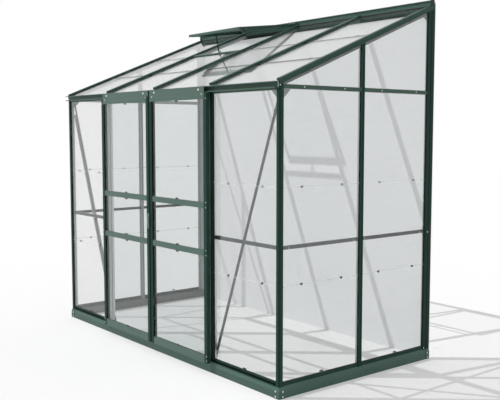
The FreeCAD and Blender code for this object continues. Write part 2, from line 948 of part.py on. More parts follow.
def gable_rafter():
    """Right gable rafter, from the eave to the house wall."""
    start = ROOF_START + X * frame_side_x - SLOPE * rafter_depth
    length = (wall_y - front_y) / math.cos(roof_pitch) + 2 * rafter_depth
    rafter = extrude(rafter_section(), start, -X, NORMAL, SLOPE * length)
    rafter = between_eave_and_wall(rafter, frame_back_y)
    low = (-reach, front_y - reach, 0)
    high = (corner_edge + fit_gap, frame_front_y + flange_back, eave_top_z + fit_gap)
    rafter = rafter.cut(block(low, high))
    top_clear = roof_height(frame_front_y + cap_width, -slot_back)
    low = (-reach, front_y - reach, 0)
    high = (frame_side_x - slot_back + fit_gap, frame_front_y + flange_back, top_clear - rafter_depth)
    return rafter.cut(block(low, high))


def ridge_bar():
    """Ridge bar with the hinge socket of the vent along its front top edge."""
    end = half_length - ridge_end_inset
    bottom = ridge_bottom_z - ridge_back_drop
    section = [
        (ridge_front_y, ridge_bottom_z),
        (ridge_front_y + ridge_wall, ridge_bottom_z),
        (ridge_front_y + ridge_wall, ridge_top_z - ridge_wall),
        (wall_y - ridge_wall, ridge_top_z - ridge_wall),
        (wall_y - ridge_wall, bottom),
        (wall_y, bottom),
        (wall_y, ridge_top_z),
        (ridge_front_y, ridge_top_z),
    ]
    start = X * -end
    body = extrude(section, start, Y, Z, X * 2 * end)
    socket_radius = hinge_bulb_radius + hinge_running_clearance
    outer = socket_radius + hinge_socket_wall
    centre = FreeCAD.Vector(-end, hinge_y, hinge_z)
    ring = cylinder(centre, X, outer, 2 * end).cut(cylinder(centre, X, socket_radius, 2 * end))
    ring = ring.cut(hinge_mouth(centre, 2 * end, outer))
    bridge_low = (-end, hinge_y + socket_radius + hinge_socket_wall / 2, hinge_z - hinge_bridge / 2)
    bridge_high = (end, ridge_front_y + ridge_wall / 2, hinge_z + hinge_bridge / 2)
    whole = joined([body, ring, block(bridge_low, bridge_high)])
    for side in (-1, 1):
        inner = frame_side_x - cap_width / 2 - flange_width / 2 - fit_gap
        edges = sorted((side * inner, side * 2 * half_length))
        below = extrude(
            rectangle(-reach, -reach, reach, fit_gap), ROOF_START + X * edges[0], SLOPE, NORMAL,
            X * (edges[1] - edges[0]))
        whole = whole.cut(below)
    return whole


def hinge_mouth(centre, length, radius):
    """Wedge that opens the hinge socket for the neck of the vent."""
    first = math.radians(hinge_mouth_start_deg)
    last = math.radians(hinge_mouth_end_deg)
    middle = (first + last) / 2
    far = hinge_mouth_reach * radius
    points = [(0, 0)]
    for angle in (first, middle, last):
        points.append((far * math.cos(angle), far * math.sin(angle)))
    return extrude(points, centre, Y, Z, X * length)


def ridge_end_cap():
    """Plate that closes the right end of the ridge bar above the rafter."""
    end = half_length - ridge_end_inset
    front = ridge_front_y - ridge_cap_front
    points = [
        (front, roof_height(front, fit_gap)),
        (wall_y, roof_height(wall_y, fit_gap)),
        (wall_y, ridge_top_z + ridge_cap_rise),
        (front, ridge_top_z + ridge_cap_rise),
    ]
    return extrude(points, X * end, Y, Z, X * ridge_cap_sheet)


# Roof vent opening

def bay_bars(bay):
    """X of the bars on both sides of a roof bay, counted from the left."""
    left = -half_length + bay * glazing_pitch
    return (left, left + glazing_pitch)


def cross_rail():
    """Rail across the vent bay, below the vent, with a slot for the pane below it."""
    left, right = bay_bars(vent_bay)
    cap = rectangle(0, 0, cross_rail_width, -cap_depth)
    web = rectangle(cross_rail_slot, -cap_depth, cross_rail_width, -cross_rail_depth)
    flange = rectangle(-cross_rail_lap, -slot_back, cross_rail_width, -flange_back)
    start = ROOF_START + SLOPE * cross_rail_run
    cap_start = start + X * (left + cap_width / 2)
    cap_run = X * (right - left - cap_width)
    inner_start = start + X * (left + flange_width / 2)
    inner_run = X * (right - left - flange_width)
    pieces = [
        extrude(cap, cap_start, SLOPE, NORMAL, cap_run),
        extrude(web, inner_start, SLOPE, NORMAL, inner_run),
        extrude(flange, inner_start, SLOPE, NORMAL, inner_run),
    ]
    return joined(pieces)


def stay_x():
    """Middle of the vent bay, where the stay hangs."""
    left, right = bay_bars(vent_bay)
    return (left + right) / 2


def stay_peg_bracket():
    """Angle on the cross rail with the peg beside the stay."""
    side_x = stay_x() + stay_bracket_width / 2 + peg_gap
    lean = math.radians(stay_lean_deg)
    hole = stay_length - stay_hole_pitch
    peg_at = stay_pivot() + FreeCAD.Vector(0, hole * math.sin(lean), -hole * math.cos(lean))
    peg_at.x = side_x
    peg = cylinder(peg_at, X, peg_radius, peg_length)
    plate_x = side_x + peg_length - peg_plate
    start = ROOF_START + SLOPE * (cross_rail_run + cross_rail_width)
    outline = rectangle(0, -cross_rail_depth, peg_plate, -cap_depth)
    foot = extrude(outline, start + X * plate_x, SLOPE, NORMAL, X * peg_foot_width)
    low = start - NORMAL * cross_rail_depth
    high = start - NORMAL * cap_depth
    margin = peg_radius + peg_plate
    points = [
        (high.y, high.z),
        (low.y, low.z),
        (peg_at.y, peg_at.z - margin),
        (peg_at.y + margin, peg_at.z),
        (peg_at.y, peg_at.z + margin),
    ]
    ear = extrude(points, X * plate_x, Y, Z, X * peg_plate)
    return joined([peg, foot, ear])


# Glazing

def wall_tiers(bottom, top):
    """Height ranges of the wall panes between the seams."""
    edges = [bottom]
    for seam in wall_seam_heights:
        edges.append(seam - seam_gap / 2)
        edges.append(seam + seam_gap / 2)
    edges.append(top)
    return list(zip(edges[0::2], edges[1::2]))


def front_panes():
    """The three panes of the right front bay."""
    low_x = door_post_x + web_width / 2 + pane_edge_gap
    high_x = frame_side_x - flange_back - pane_edge_gap
    low_y = frame_front_y + pane_outer
    high_y = frame_front_y + pane_inner
    tiers = wall_tiers(sill_top_z + pane_edge_gap, eave_bottom_z - wall_pane_top_gap)
    return [block((low_x, low_y, low), (high_x, high_y, high)) for low, high in tiers]


def gable_panes():
    """The panes of the right gable: three tiers and the piece under the rafter."""
    first = (frame_front_y + flange_back + pane_edge_gap, middle_post_y - web_width / 2 - pane_edge_gap)
    second_end = wall_post_y + wall_post_slot_depth - pane_edge_gap
    second = (middle_post_y + web_width / 2 + pane_edge_gap, second_end)
    inner_x = frame_side_x - pane_inner
    outer_x = frame_side_x - pane_outer
    bar_middle = gable_eave_bar_z + gable_eave_bar_height / 2
    bar_low = bar_middle - gable_eave_bar_web / 2 - pane_edge_gap
    bar_high = bar_middle + gable_eave_bar_web / 2 + pane_edge_gap
    bottom = base_height + sill_pane_rise + pane_edge_gap
    top_offset = -cap_depth - pane_edge_gap
    panes = []
    for low_y, high_y in (first, second):
        for low, high in wall_tiers(bottom, bar_low):
            panes.append(block((inner_x, low_y, low), (outer_x, high_y, high)))
        rise = roof_height(high_y)
        upper = block((inner_x, low_y, bar_high), (outer_x, high_y, rise))
        panes.append(upper.cut(above_roof(top_offset, 0, half_length + reach)))
    return panes


def roof_pane_tiers(bay):
    """Ranges up the slope of the panes of a roof bay."""
    slope = 1 / math.cos(roof_pitch)
    start = -roof_pane_front_overhang
    end = (ridge_front_y - roof_y) * slope - pane_edge_gap - slot_back * math.tan(roof_pitch)
    low_seam = roof_seam_inset_low * slope
    high_seam = roof_seam_inset_high * slope
    first = (start, low_seam - seam_gap / 2)
    if bay == vent_bay:
        rail = cross_rail_run + cross_rail_slot
        return [first, (low_seam + seam_gap / 2, rail - pane_edge_gap)]
    second = (low_seam + seam_gap / 2, high_seam - seam_gap / 2)
    return [first, second, (high_seam + seam_gap / 2, end)]


def roof_panes(bay):
    """The panes of one roof bay."""
    left, right = bay_bars(bay)
    low_x = left + web_width / 2 + pane_edge_gap
    high_x = right - web_width / 2 - pane_edge_gap
    if bay == 0:
        low_x = -frame_side_x + rafter_slot_base + pane_edge_gap
    if bay == front_bay_count - 1:
        high_x = frame_side_x - rafter_slot_base - pane_edge_gap
    panes = []
    for low, high in roof_pane_tiers(bay):
        start = ROOF_START + SLOPE * low - NORMAL * pane_outer + X * low_x
        outline = rectangle(0, 0, high - low, -pane_thickness)
        panes.append(extrude(outline, start, SLOPE, NORMAL, X * (high_x - low_x)))
    return panes


def seam_clip_section():
    """H-shaped clip over a seam: inward from the outer face, and across the seam."""
    outer = pane_outer - seam_clip_gap - seam_clip_sheet
    inner = pane_inner + seam_clip_gap + seam_clip_sheet
    half = seam_clip_height / 2
    web = seam_gap / 2 - seam_clip_gap / 2
    return [
        (outer, -half),
        (outer + seam_clip_sheet, -half),
        (outer + seam_clip_sheet, -web),
        (inner - seam_clip_sheet, -web),
        (inner - seam_clip_sheet, -half),
        (inner, -half),
        (inner, half),
        (inner - seam_clip_sheet, half),
        (inner - seam_clip_sheet, web),
        (outer + seam_clip_sheet, web),
        (outer + seam_clip_sheet, half),
        (outer, half),
    ]


def seam_clips():
    """All seam clips: front bays, gables and roof."""
    section = seam_clip_section()
    right = []
    for seam in wall_seam_heights:
        for offset in (-seam_clip_offset, seam_clip_offset):
            front_x = door_post_x + glazing_pitch / 2 + offset - seam_clip_width / 2
            start = FreeCAD.Vector(front_x, frame_front_y, seam)
            right.append(extrude(section, start, Y, Z, X * seam_clip_width))
            for side in (-1, 1):
                centre_y = middle_post_y + side * glazing_pitch / 2 + offset
                start = FreeCAD.Vector(frame_side_x, centre_y - seam_clip_width / 2, seam)
                right.append(extrude(section, start, -X, Z, Y * seam_clip_width))
    clips = right + [mirrored(clip) for clip in right]
    for bay in range(front_bay_count):
        tiers = roof_pane_tiers(bay)
        middle = sum(bay_bars(bay)) / 2
        for low_tier, high_tier in zip(tiers, tiers[1:]):
            seam = (low_tier[1] + high_tier[0]) / 2
            for offset in (-seam_clip_offset, seam_clip_offset):
                start = ROOF_START + SLOPE * seam + X * (middle + offset - seam_clip_width / 2)
                clips.append(extrude(section, start, -NORMAL, SLOPE, X * seam_clip_width))
    return Part.makeCompound(clips)


# Door leaves, drawn for the right leaf

def outward(distance):
    """Y of a point that stands this far in front of the base."""
    return front_y - distance


def stile_section(opens_right):
    """Stile: across from its free edge, and outward; its slot faces the panes."""
    inner = stile_width - stile_slot_depth
    slot_front = leaf_pane_front
    slot_rear = leaf_pane_front - slot_width
    points = [
        (0, leaf_back),
        (stile_width, leaf_back),
        (stile_width, slot_rear),
        (inner, slot_rear),
        (inner, slot_front),
        (stile_width, slot_front),
        (stile_width, leaf_front - stile_chamfer),
        (stile_width - stile_chamfer, leaf_front),
        (stile_chamfer, leaf_front),
        (0, leaf_front - stile_chamfer),
    ]
    if opens_right:
        return points
    return [(-across, out) for across, out in points]


def door_stiles():
    """Inner and outer stile, cut back behind the ends of the header plate."""
    top = eave_bottom_z - leaf_top_gap
    stiles = []
    for edge, opens_right in ((leaf_inner_edge, True), (leaf_outer_edge, False)):
        start = FreeCAD.Vector(edge, front_y, leaf_foot_z)
        stile = extrude(stile_section(opens_right), start, X, -Y, Z * (top - leaf_foot_z))
        low_x = leaf_inner_edge + header_plate_inset - fit_gap
        high_x = leaf_outer_edge - header_outer_inset + fit_gap
        low = (low_x, outward(leaf_front + header_plate), header_bottom_z - fit_gap)
        high = (high_x, outward(leaf_front - header_plate - fit_gap), header_top_z)
        stiles.append(stile.cut(block(low, high)))
    return stiles


def leaf_clear_span():
    """X range between the stiles."""
    return (leaf_inner_edge + stile_width, leaf_outer_edge - stile_width)


def leaf_run(section, span, hole=None):
    """Straight piece along the leaf, from a section outward and upward."""
    start = FreeCAD.Vector(span[0], front_y, 0)
    return extrude(section, start, -Y, Z, X * (span[1] - span[0]), hole)


def leaf_slot_rear():
    """Outward place of the back face of the leaf's pane slot."""
    return leaf_pane_front - slot_width


def header_plate_section():
    """Front plate of the header with its shallow grooves."""
    front = leaf_front
    back = leaf_front - header_plate
    points = [(back, header_bottom_z), (front, header_bottom_z)]
    height = header_top_z - header_bottom_z
    for index in range(header_groove_count):
        middle = header_bottom_z + height * (index + 1) / (header_groove_count + 1)
        points.append((front, middle - header_groove_width / 2))
        points.append((front - header_groove_depth, middle))
        points.append((front, middle + header_groove_width / 2))
    points.append((front, header_top_z))
    points.append((back, header_top_z))
    return points


def roller_centres():
    """X of the two roller axles of the leaf."""
    return (leaf_inner_edge + roller_inset_inner, leaf_outer_edge - roller_inset_outer)


def roller_z():
    """Height of the roller axles: the rollers run on the lower lip of the eave."""
    return eave_bottom_z + eave_wall + fit_gap + roller_radius


def door_header():
    """Header plate with the upper pane slot behind it."""
    plate_span = (leaf_inner_edge + header_plate_inset, leaf_outer_edge - header_outer_inset)
    plate = leaf_run(header_plate_section(), plate_span)
    back = leaf_slot_rear() - leaf_pane_inner_wall
    front = leaf_front - header_plate
    slot_top = header_bottom_z + header_slot_depth
    holder = [
        (back, header_bottom_z),
        (leaf_slot_rear(), header_bottom_z),
        (leaf_slot_rear(), slot_top),
        (leaf_pane_front, slot_top),
        (leaf_pane_front, header_bottom_z),
        (front, header_bottom_z),
        (front, slot_top + header_slot_wall),
        (back, slot_top + header_slot_wall),
    ]
    header = joined([plate, leaf_run(holder, leaf_clear_span())])
    radius = axle_radius + screw_hole_clearance
    for centre in roller_centres():
        start = FreeCAD.Vector(centre, outward(leaf_front + 1), roller_z())
        header = header.cut(cylinder(start, Y, radius, 2 * header_plate))
    return header


def middle_rail(centre_z):
    """Door rail with a pane slot above and below."""
    half = rail_height / 2
    web = rail_web / 2
    front = leaf_front - rail_front_recess
    back = leaf_slot_rear() - leaf_pane_inner_wall
    section = [
        (back, centre_z - half),
        (leaf_slot_rear(), centre_z - half),
        (leaf_slot_rear(), centre_z - web),
        (leaf_pane_front, centre_z - web),
        (leaf_pane_front, centre_z - half),
        (front, centre_z - half),
        (front, centre_z + half),
        (leaf_pane_front, centre_z + half),
        (leaf_pane_front, centre_z + web),
        (leaf_slot_rear(), centre_z + web),
        (leaf_slot_rear(), centre_z + half),
        (back, centre_z + half),
    ]
    return leaf_run(section, leaf_clear_span())


def bottom_rail():
    """Bottom rail, a hollow section with the lower pane slot."""
    top = bottom_rail_z + bottom_rail_height
    slot_bottom = top - bottom_rail_slot
    front = leaf_front - rail_front_recess
    back = leaf_slot_rear() - leaf_pane_inner_wall
    section = [
        (back, bottom_rail_z),
        (front, bottom_rail_z),
        (front, top),
        (leaf_pane_front, top),
        (leaf_pane_front, slot_bottom),
        (leaf_slot_rear(), slot_bottom),
        (leaf_slot_rear(), top),
        (back, top),
    ]
    hollow = rectangle(
        back + bottom_rail_wall, bottom_rail_z + bottom_rail_wall,
        front - bottom_rail_wall, slot_bottom - bottom_rail_web)
    return leaf_run(section, leaf_clear_span(), hollow)


def door_rails():
    """The two middle rails and the bottom rail."""
    rails = [middle_rail(height) for height in rail_centre_heights]
    return rails + [bottom_rail()]


def door_panes():
    """The three panes of the leaf, between its rails."""
    inner = stile_width - stile_slot_depth + pane_edge_gap
    low_x = leaf_inner_edge + inner
    high_x = leaf_outer_edge - inner
    front = outward(leaf_pane_front - slot_clearance)
    back = front + pane_thickness
    edges = [bottom_rail_z + bottom_rail_height - bottom_rail_slot + pane_edge_gap]
    for height in rail_centre_heights:
        edges.append(height - rail_web / 2 - pane_edge_gap)
        edges.append(height + rail_web / 2 + pane_edge_gap)
    edges.append(header_bottom_z + header_slot_depth - pane_edge_gap)
    tiers = zip(edges[0::2], edges[1::2])
    return [block((low_x, front, low), (high_x, back, high)) for low, high in tiers]


def revolved(points, start, direction):
    """Turned piece: points are distance along the axis and radius."""
    across = Z
    wire = wire_of(points, start, direction, across)
    return Part.Face(wire).revolve(start, direction, 360)


def door_roller(centre):
    """Nylon roller with a crowned tread and a raised hub."""
    half = roller_width / 2
    bore = axle_radius + roller_bore_clearance
    points = [
        (-half, bore),
        (-half, roller_radius - 2 * roller_crown),
        (-half + 2 * roller_crown, roller_radius - roller_crown),
        (0, roller_radius),
        (half - 2 * roller_crown, roller_radius - roller_crown),
        (half, roller_radius - 2 * roller_crown),
        (half, bore),
    ]
    start = FreeCAD.Vector(centre, outward(roller_back + half), roller_z())
    return revolved(points, start, Y)


def roller_axle(centre):
    """Axle bolt with its head in front, a spacer behind the plate and a nut."""
    nut_start = roller_back - axle_side_gap - axle_nut_height
    nut_end = roller_back - axle_side_gap
    spacer_start = roller_back + roller_width + axle_side_gap
    spacer_end = leaf_front - header_plate
    head_end = leaf_front + axle_head_height
    points = [
        (nut_start, 0),
        (nut_start, axle_nut_radius),
        (nut_end, axle_nut_radius),
        (nut_end, axle_radius),
        (spacer_start, axle_radius),
        (spacer_start, spacer_radius),
        (spacer_end, spacer_radius),
        (spacer_end, axle_radius),
        (leaf_front, axle_radius),
        (leaf_front, axle_head_radius),
        (head_end, axle_head_radius - axle_head_height / 2),
        (head_end, 0),
    ]
    start = FreeCAD.Vector(centre, front_y, roller_z())
    return revolved(points, start, -Y)


def guide_shoes():
    """Shoes under the leaf that run in the channel of the front sill."""
    back = leaf_slot_rear() - leaf_pane_inner_wall
    shoes = []
    low_x = leaf_clear_span()[0] + shoe_inset
    high_x = leaf_clear_span()[1] - shoe_inset - shoe_length
    for start_x in (low_x, high_x):
        end_x = start_x + shoe_length
        top = shoe_z + shoe_height
        shoes.append(block((start_x, outward(back), shoe_z), (end_x, outward(-shoe_reach), top)))
    return shoes


def cover_strip():
    """Strip on the inner stile of the left leaf, over the meeting gap."""
    top = eave_bottom_z - leaf_top_gap
    low_x = -cover_strip_offset - cover_strip_width
    low = (low_x, outward(leaf_front + cover_strip_sheet), leaf_foot_z)
    high = (-cover_strip_offset, outward(leaf_front), top)
    strip = block(low, high)
    edges = [edge for edge in strip.Edges if is_long_front_edge(edge)]
    return strip.makeChamfer(cover_strip_sheet / 2, edges)


def is_long_front_edge(edge):
    """Upright edge on the front of the cover strip."""
    front = outward(leaf_front + cover_strip_sheet)
    upright = edge.BoundBox.ZLength > handle_length
    return upright and abs(edge.BoundBox.YMin - front) < fit_gap


def door_handle():
    """Bow handle on the cover strip, bent from one strap."""
    base = leaf_front + cover_strip_sheet
    shoulder = handle_front
    top = handle_bottom_z + handle_length
    slope = handle_foot + handle_rise / 2
    path = [
        (handle_bottom_z, base),
        (handle_bottom_z + handle_foot, base),
        (handle_bottom_z + slope, shoulder - handle_sheet),
        (top - slope, shoulder - handle_sheet),
        (top - handle_foot, base),
        (top, base),
    ]
    section = sheet_section(path, -handle_sheet)
    start = FreeCAD.Vector(-handle_offset - handle_width, front_y, 0)
    return extrude(section, start, Z, -Y, X * handle_width)


def meeting_seal():
    """Rubber strip on the inner edge of the right leaf."""
    middle = (leaf_front + leaf_back) / 2
    low = (leaf_inner_edge - seal_width, outward(middle + seal_depth / 2), leaf_foot_z)
    high = (leaf_inner_edge, outward(middle - seal_depth / 2), eave_bottom_z - leaf_top_gap)
    return block(low, high)


def door_catch():
    """Small catch on the inner stile of the right leaf."""
    start_x = leaf_inner_edge + stile_width
    points = [
        (0, 0),
        (catch_width, catch_width / 2),
        (catch_width, catch_height - catch_width / 2),
        (0, catch_height),
    ]
    depth = leaf_front - leaf_pane_front - slot_clearance
    start = FreeCAD.Vector(start_x, outward(leaf_front), catch_bottom_z)
    return extrude(points, start, X, Z, Y * depth)


# Roof vent, drawn shut and then turned to its rest pose

def vent_drop():
    """Distance from the hinge axis down to the underside of the shut vent."""
    height = hinge_z - roof_height(hinge_y)
    return height * math.cos(roof_pitch) - vent_seat_gap


def opened(shape):
    """Vent piece turned from shut to its rest pose about the hinge axis."""
    turned = shape.copy()
    turned.rotate(FreeCAD.Vector(0, hinge_y, hinge_z), X, -vent_open_deg)
    return turned


def vent_point(down, up):
    """Y and Z, with the vent at rest, of a point given as down the vent and above its hinge."""
    point = FreeCAD.Vector(0, hinge_y, hinge_z) - SLOPE * down + NORMAL * up
    vertex = opened(Part.Vertex(point))
    return (vertex.Point.y, vertex.Point.z)


def vent_axis_point(x):
    """Point of the hinge axis."""
    return FreeCAD.Vector(x, hinge_y, hinge_z)


def vent_edges():
    """X of the left and right edge of the vent."""
    left, right = bay_bars(vent_bay)
    return (left + vent_side_gap, right - vent_side_gap)


def vent_rail_section(width):
    """Vent rail: from its outer edge inward, and up from the hinge axis."""
    bottom = -vent_drop()
    top = bottom + vent_thickness
    slot_top = top - vent_skin
    slot_bottom = slot_top - slot_width
    slot_end = width - vent_slot_depth
    return [
        (0, bottom),
        (vent_skin, bottom),
        (vent_skin, slot_bottom - vent_skin),
        (width, slot_bottom - vent_skin),
        (width, slot_bottom),
        (slot_end, slot_bottom),
        (slot_end, slot_top),
        (width, slot_top),
        (width, top),
        (0, top),
    ]


def vent_side_rails():
    """The two side rails of the vent."""
    left, right = vent_edges()
    length = vent_length - vent_rail_width - vent_hinge_rail_start - vent_hinge_rail_width
    section = vent_rail_section(vent_rail_width)
    first = vent_hinge_rail_start + vent_hinge_rail_width
    rails = []
    for edge, across in ((left, X), (right, -X)):
        start = vent_axis_point(edge) - SLOPE * first
        rails.append(opened(extrude(section, start, across, NORMAL, -SLOPE * length)))
    return rails


def vent_front_rail():
    """Front rail of the vent, over its full width."""
    left, right = vent_edges()
    start = vent_axis_point(left) - SLOPE * vent_length
    section = vent_rail_section(vent_rail_width)
    return opened(extrude(section, start, SLOPE, NORMAL, X * (right - left)))


def vent_hinge_rail():
    """Hinge rail of the vent, with the round bulb that turns in the ridge bar."""
    left, right = vent_edges()
    run = X * (right - left)
    start = vent_axis_point(left) - SLOPE * vent_hinge_rail_start
    rail = extrude(vent_rail_section(vent_hinge_rail_width), start, -SLOPE, NORMAL, run)
    bulb = cylinder(vent_axis_point(left), X, hinge_bulb_radius, right - left)
    foot = (vent_hinge_rail_start + hinge_neck / 2, -vent_drop() + vent_thickness - vent_skin / 2)
    size = math.hypot(foot[0], foot[1])
    side = (foot[1] / size * hinge_neck / 2, -foot[0] / size * hinge_neck / 2)
    neck = [
        (side[0], side[1]),
        (foot[0] + side[0], foot[1] + side[1]),
        (foot[0] - side[0], foot[1] - side[1]),
        (-side[0], -side[1]),
    ]
    neck_solid = extrude(neck, vent_axis_point(left), -SLOPE, NORMAL, run)
    return opened(joined([rail, bulb, neck_solid]))


def vent_pane():
    """Pane of the vent, in the slots of its rails."""
    left, right = vent_edges()
    edge = vent_rail_width - vent_slot_depth + pane_edge_gap
    low = vent_hinge_rail_start + vent_hinge_rail_width - vent_slot_depth + pane_edge_gap
    high = vent_length - edge
    top = -vent_drop() + vent_thickness - vent_skin - slot_clearance
    start = vent_axis_point(left + edge) - SLOPE * low
    outline = rectangle(0, top - pane_thickness, high - low, top)
    return opened(extrude(outline, start, -SLOPE, NORMAL, X * (right - left - 2 * edge)))


# Vent stay

def stay_pivot():
    """Pivot of the stay below the front rail, at rest."""
    y, z = vent_point(vent_length - stay_pivot_inset, -vent_drop() - stay_pivot_drop)
    return FreeCAD.Vector(stay_x(), y, z)


def stay_bracket():
    """Bracket under the front rail with two ears and the pivot pin."""
    top = -vent_drop() + vent_thickness - 2 * vent_skin - slot_width
    under = top - stay_bracket_plate
    pivot_up = -vent_drop() - stay_pivot_drop
    margin = stay_pin_radius + stay_ear
    start = vent_axis_point(stay_x() - stay_bracket_width / 2) - SLOPE * vent_length
    outline = rectangle(stay_bracket_start, under, vent_rail_width, top)
    plate = extrude(outline, start, SLOPE, NORMAL, X * stay_bracket_width)
    ear_points = [
        (stay_bracket_start, under),
        (stay_pivot_inset - margin / 2, pivot_up - margin),
        (stay_pivot_inset + margin / 2, pivot_up - margin),
        (stay_pivot_inset + margin, pivot_up),
        (vent_rail_width, top),
        (stay_bracket_start, top),
    ]
    ears = []
    for ear_x in (0, stay_bracket_width - stay_ear):
        ears.append(extrude(ear_points, start + X * ear_x, SLOPE, NORMAL, X * stay_ear))
    pin_start = start + SLOPE * stay_pivot_inset + NORMAL * pivot_up
    pin = cylinder(pin_start, X, stay_pin_radius, stay_bracket_width)
    return opened(joined([plate, pin] + ears))


def stay_bar():
    """Flat stay with a row of peg holes, hanging from its pivot."""
    radius = stay_width / 2
    low = -stay_thickness / 2
    body = block((low, -radius, -stay_length), (-low, radius, 0))
    ends = [cylinder(X * low - Z * at, X, radius, stay_thickness) for at in (0, stay_length)]
    bar = joined([body] + ends)
    pin_hole = cylinder(X * 2 * low, X, stay_pin_radius + stay_pin_clearance, 2 * stay_thickness)
    bar = bar.cut(pin_hole)
    for index in range(stay_hole_count):
        at = stay_length - index * stay_hole_pitch
        bar = bar.cut(cylinder(X * 2 * low - Z * at, X, stay_hole_radius, 2 * stay_thickness))
    bar.rotate(ORIGIN, X, stay_lean_deg)
    bar.translate(stay_pivot())
    return bar


# Writing the nodes

def group(pieces):
    """One node from separate solids."""
    return Part.makeCompound(pieces)


def both_sides(pieces):
    """Right-hand pieces and their left-hand twins, as one node."""
    return group(pieces + [mirrored(piece) for piece in pieces])


def frame_nodes():
    """Nodes of everything that stays still."""
    nodes = {
        "base_front_rail": base_front_rail(),
        "base_gable_rails": both_sides([base_gable_rail()]),
        "base_corner_connectors": both_sides([base_corner_connector()]),
        "base_wall_brackets": both_sides([base_wall_bracket()]),
        "base_screws": base_screws(),
        "front_sill": front_sill(),
        "gable_sills": both_sides(gable_sills()),
        "door_posts": both_sides([door_post()]),
        "eave_track_beam": eave_track_beam(),
        "gable_eave_bars": both_sides(gable_eave_bars()),
        "gable_middle_bars": both_sides(gable_middle_bars()),
        "front_middle_bars": both_sides([front_middle_bar()]),
        "front_braces": both_sides([front_brace()]),
        "gusset_plates": both_sides(gusset_plates()),
        "corner_posts": both_sides([corner_post()]),
        "wall_posts": both_sides([wall_post()]),
        "ridge_bar": ridge_bar(),
        "ridge_end_caps": both_sides([ridge_end_cap()]),
        "vent_cross_rail": cross_rail(),
        "stay_peg_bracket": stay_peg_bracket(),
        "seam_clips": seam_clips(),
    }
    paired = {
        "gable_middle_post": gable_middle_post(),
        "gable_rafter": gable_rafter(),
        "front_panes": group(front_panes()),
        "gable_panes": group(gable_panes()),
    }
    for name, shape in paired.items():
        nodes[name + "_right"] = shape
        nodes[name + "_left"] = mirrored(shape)
    bars = [roof_bar(bay_bars(bay)[0]) for bay in range(1, front_bay_count)]
    nodes["roof_glazing_bars"] = group(bars)
    for bay in range(front_bay_count):
        nodes["roof_panes_bay_%d" % (bay + 1)] = group(roof_panes(bay))
    return nodes


def door_nodes():
    """Nodes of both sliding leaves."""
    inner, outer = roller_centres()
    leaf = {
        "door_stiles": group(door_stiles()),
        "door_header": door_header(),
        "door_rails": group(door_rails()),
        "door_panes": group(door_panes()),
        "door_roller_inner": door_roller(inner),
        "door_roller_outer": door_roller(outer),
        "door_roller_axles": group([roller_axle(inner), roller_axle(outer)]),
        "door_guide_shoes": group(guide_shoes()),
    }
    nodes = {}
    for name, shape in leaf.items():
        nodes["right_" + name] = shape
        nodes["left_" + name] = mirrored(shape)
    nodes["left_door_cover_strip"] = cover_strip()
    nodes["left_door_handle"] = door_handle()
    nodes["right_door_seal"] = meeting_seal()
    nodes["right_door_catch"] = door_catch()
    return nodes


def vent_nodes():
    """Nodes of the roof vent and its stay."""
    return {
        "vent_side_rails": group(vent_side_rails()),
        "vent_front_rail": vent_front_rail(),
        "vent_hinge_rail": vent_hinge_rail(),
        "vent_pane": vent_pane(),
        "vent_stay_bracket": stay_bracket(),
        "vent_stay_bar": stay_bar(),
    }


def main():
    """Build every node and write it."""
    nodes = {}
    nodes.update(frame_nodes())
    nodes.update(door_nodes())
    nodes.update(vent_nodes())
    for name, shape in nodes.items():
        shape.exportStep("parts/" + name + ".step")


main()
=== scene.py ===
import math

import bmesh
import bpy
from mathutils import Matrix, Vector


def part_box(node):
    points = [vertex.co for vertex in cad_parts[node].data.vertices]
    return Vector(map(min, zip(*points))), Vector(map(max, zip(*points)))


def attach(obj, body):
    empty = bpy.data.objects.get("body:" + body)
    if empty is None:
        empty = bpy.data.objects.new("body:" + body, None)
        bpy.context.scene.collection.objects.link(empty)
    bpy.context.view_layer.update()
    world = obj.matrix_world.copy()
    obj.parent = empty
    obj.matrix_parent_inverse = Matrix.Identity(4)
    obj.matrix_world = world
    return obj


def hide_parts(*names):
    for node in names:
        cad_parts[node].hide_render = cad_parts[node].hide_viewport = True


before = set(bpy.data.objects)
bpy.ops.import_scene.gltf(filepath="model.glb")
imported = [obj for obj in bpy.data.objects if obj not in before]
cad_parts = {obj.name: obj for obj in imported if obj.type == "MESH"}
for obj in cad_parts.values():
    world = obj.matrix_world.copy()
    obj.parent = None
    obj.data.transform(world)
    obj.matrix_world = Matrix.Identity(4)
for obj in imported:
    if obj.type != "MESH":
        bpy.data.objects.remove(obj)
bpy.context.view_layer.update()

bl_info = {
    "name": "Lean-to Greenhouse",
    "version": (1, 0, 0),
    "blender": (4, 5, 0),
    "location": "View3D > Sidebar > Greenhouse",
    "description": "Finishes, fixings, glazing clips and studio for a lean-to greenhouse",
    "category": "Object",
}


# Main planes, in metres, taken from the frame

LENGTH_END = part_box("base_front_rail")[1][0]
FRONT_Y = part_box("base_front_rail")[0][1]
BASE_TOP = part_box("base_front_rail")[1][2]
WALL_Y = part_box("ridge_bar")[1][1]
RIDGE_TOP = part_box("ridge_bar")[1][2]
FRONT_PANE_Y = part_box("front_panes_left")[0][1]
GABLE_PANE_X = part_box("gable_panes_right")[1][0]
GABLE_MIDDLE_Y = (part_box("gable_middle_bars")[0][1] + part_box("gable_middle_bars")[1][1]) / 2
LEAF_FRONT_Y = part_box("left_door_stiles")[0][1]
ROOF_BACK_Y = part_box("roof_glazing_bars")[1][1] - 0.0025
VENT_FRONT_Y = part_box("vent_front_rail")[0][1]

# Places that no box of the frame gives, in metres, as the part is drawn

BAY = 0.610
ROOF_PITCH = math.radians(21.8)
ROOF_FRONT = Vector((0.0, -0.5875, 1.695))
PANE_SEAMS = (0.604, 1.130)
ROOF_SEAMS = (0.347, 0.720)

# How far the roof panes lie under the tops of their bars, and how deep a pane's slot is, in metres

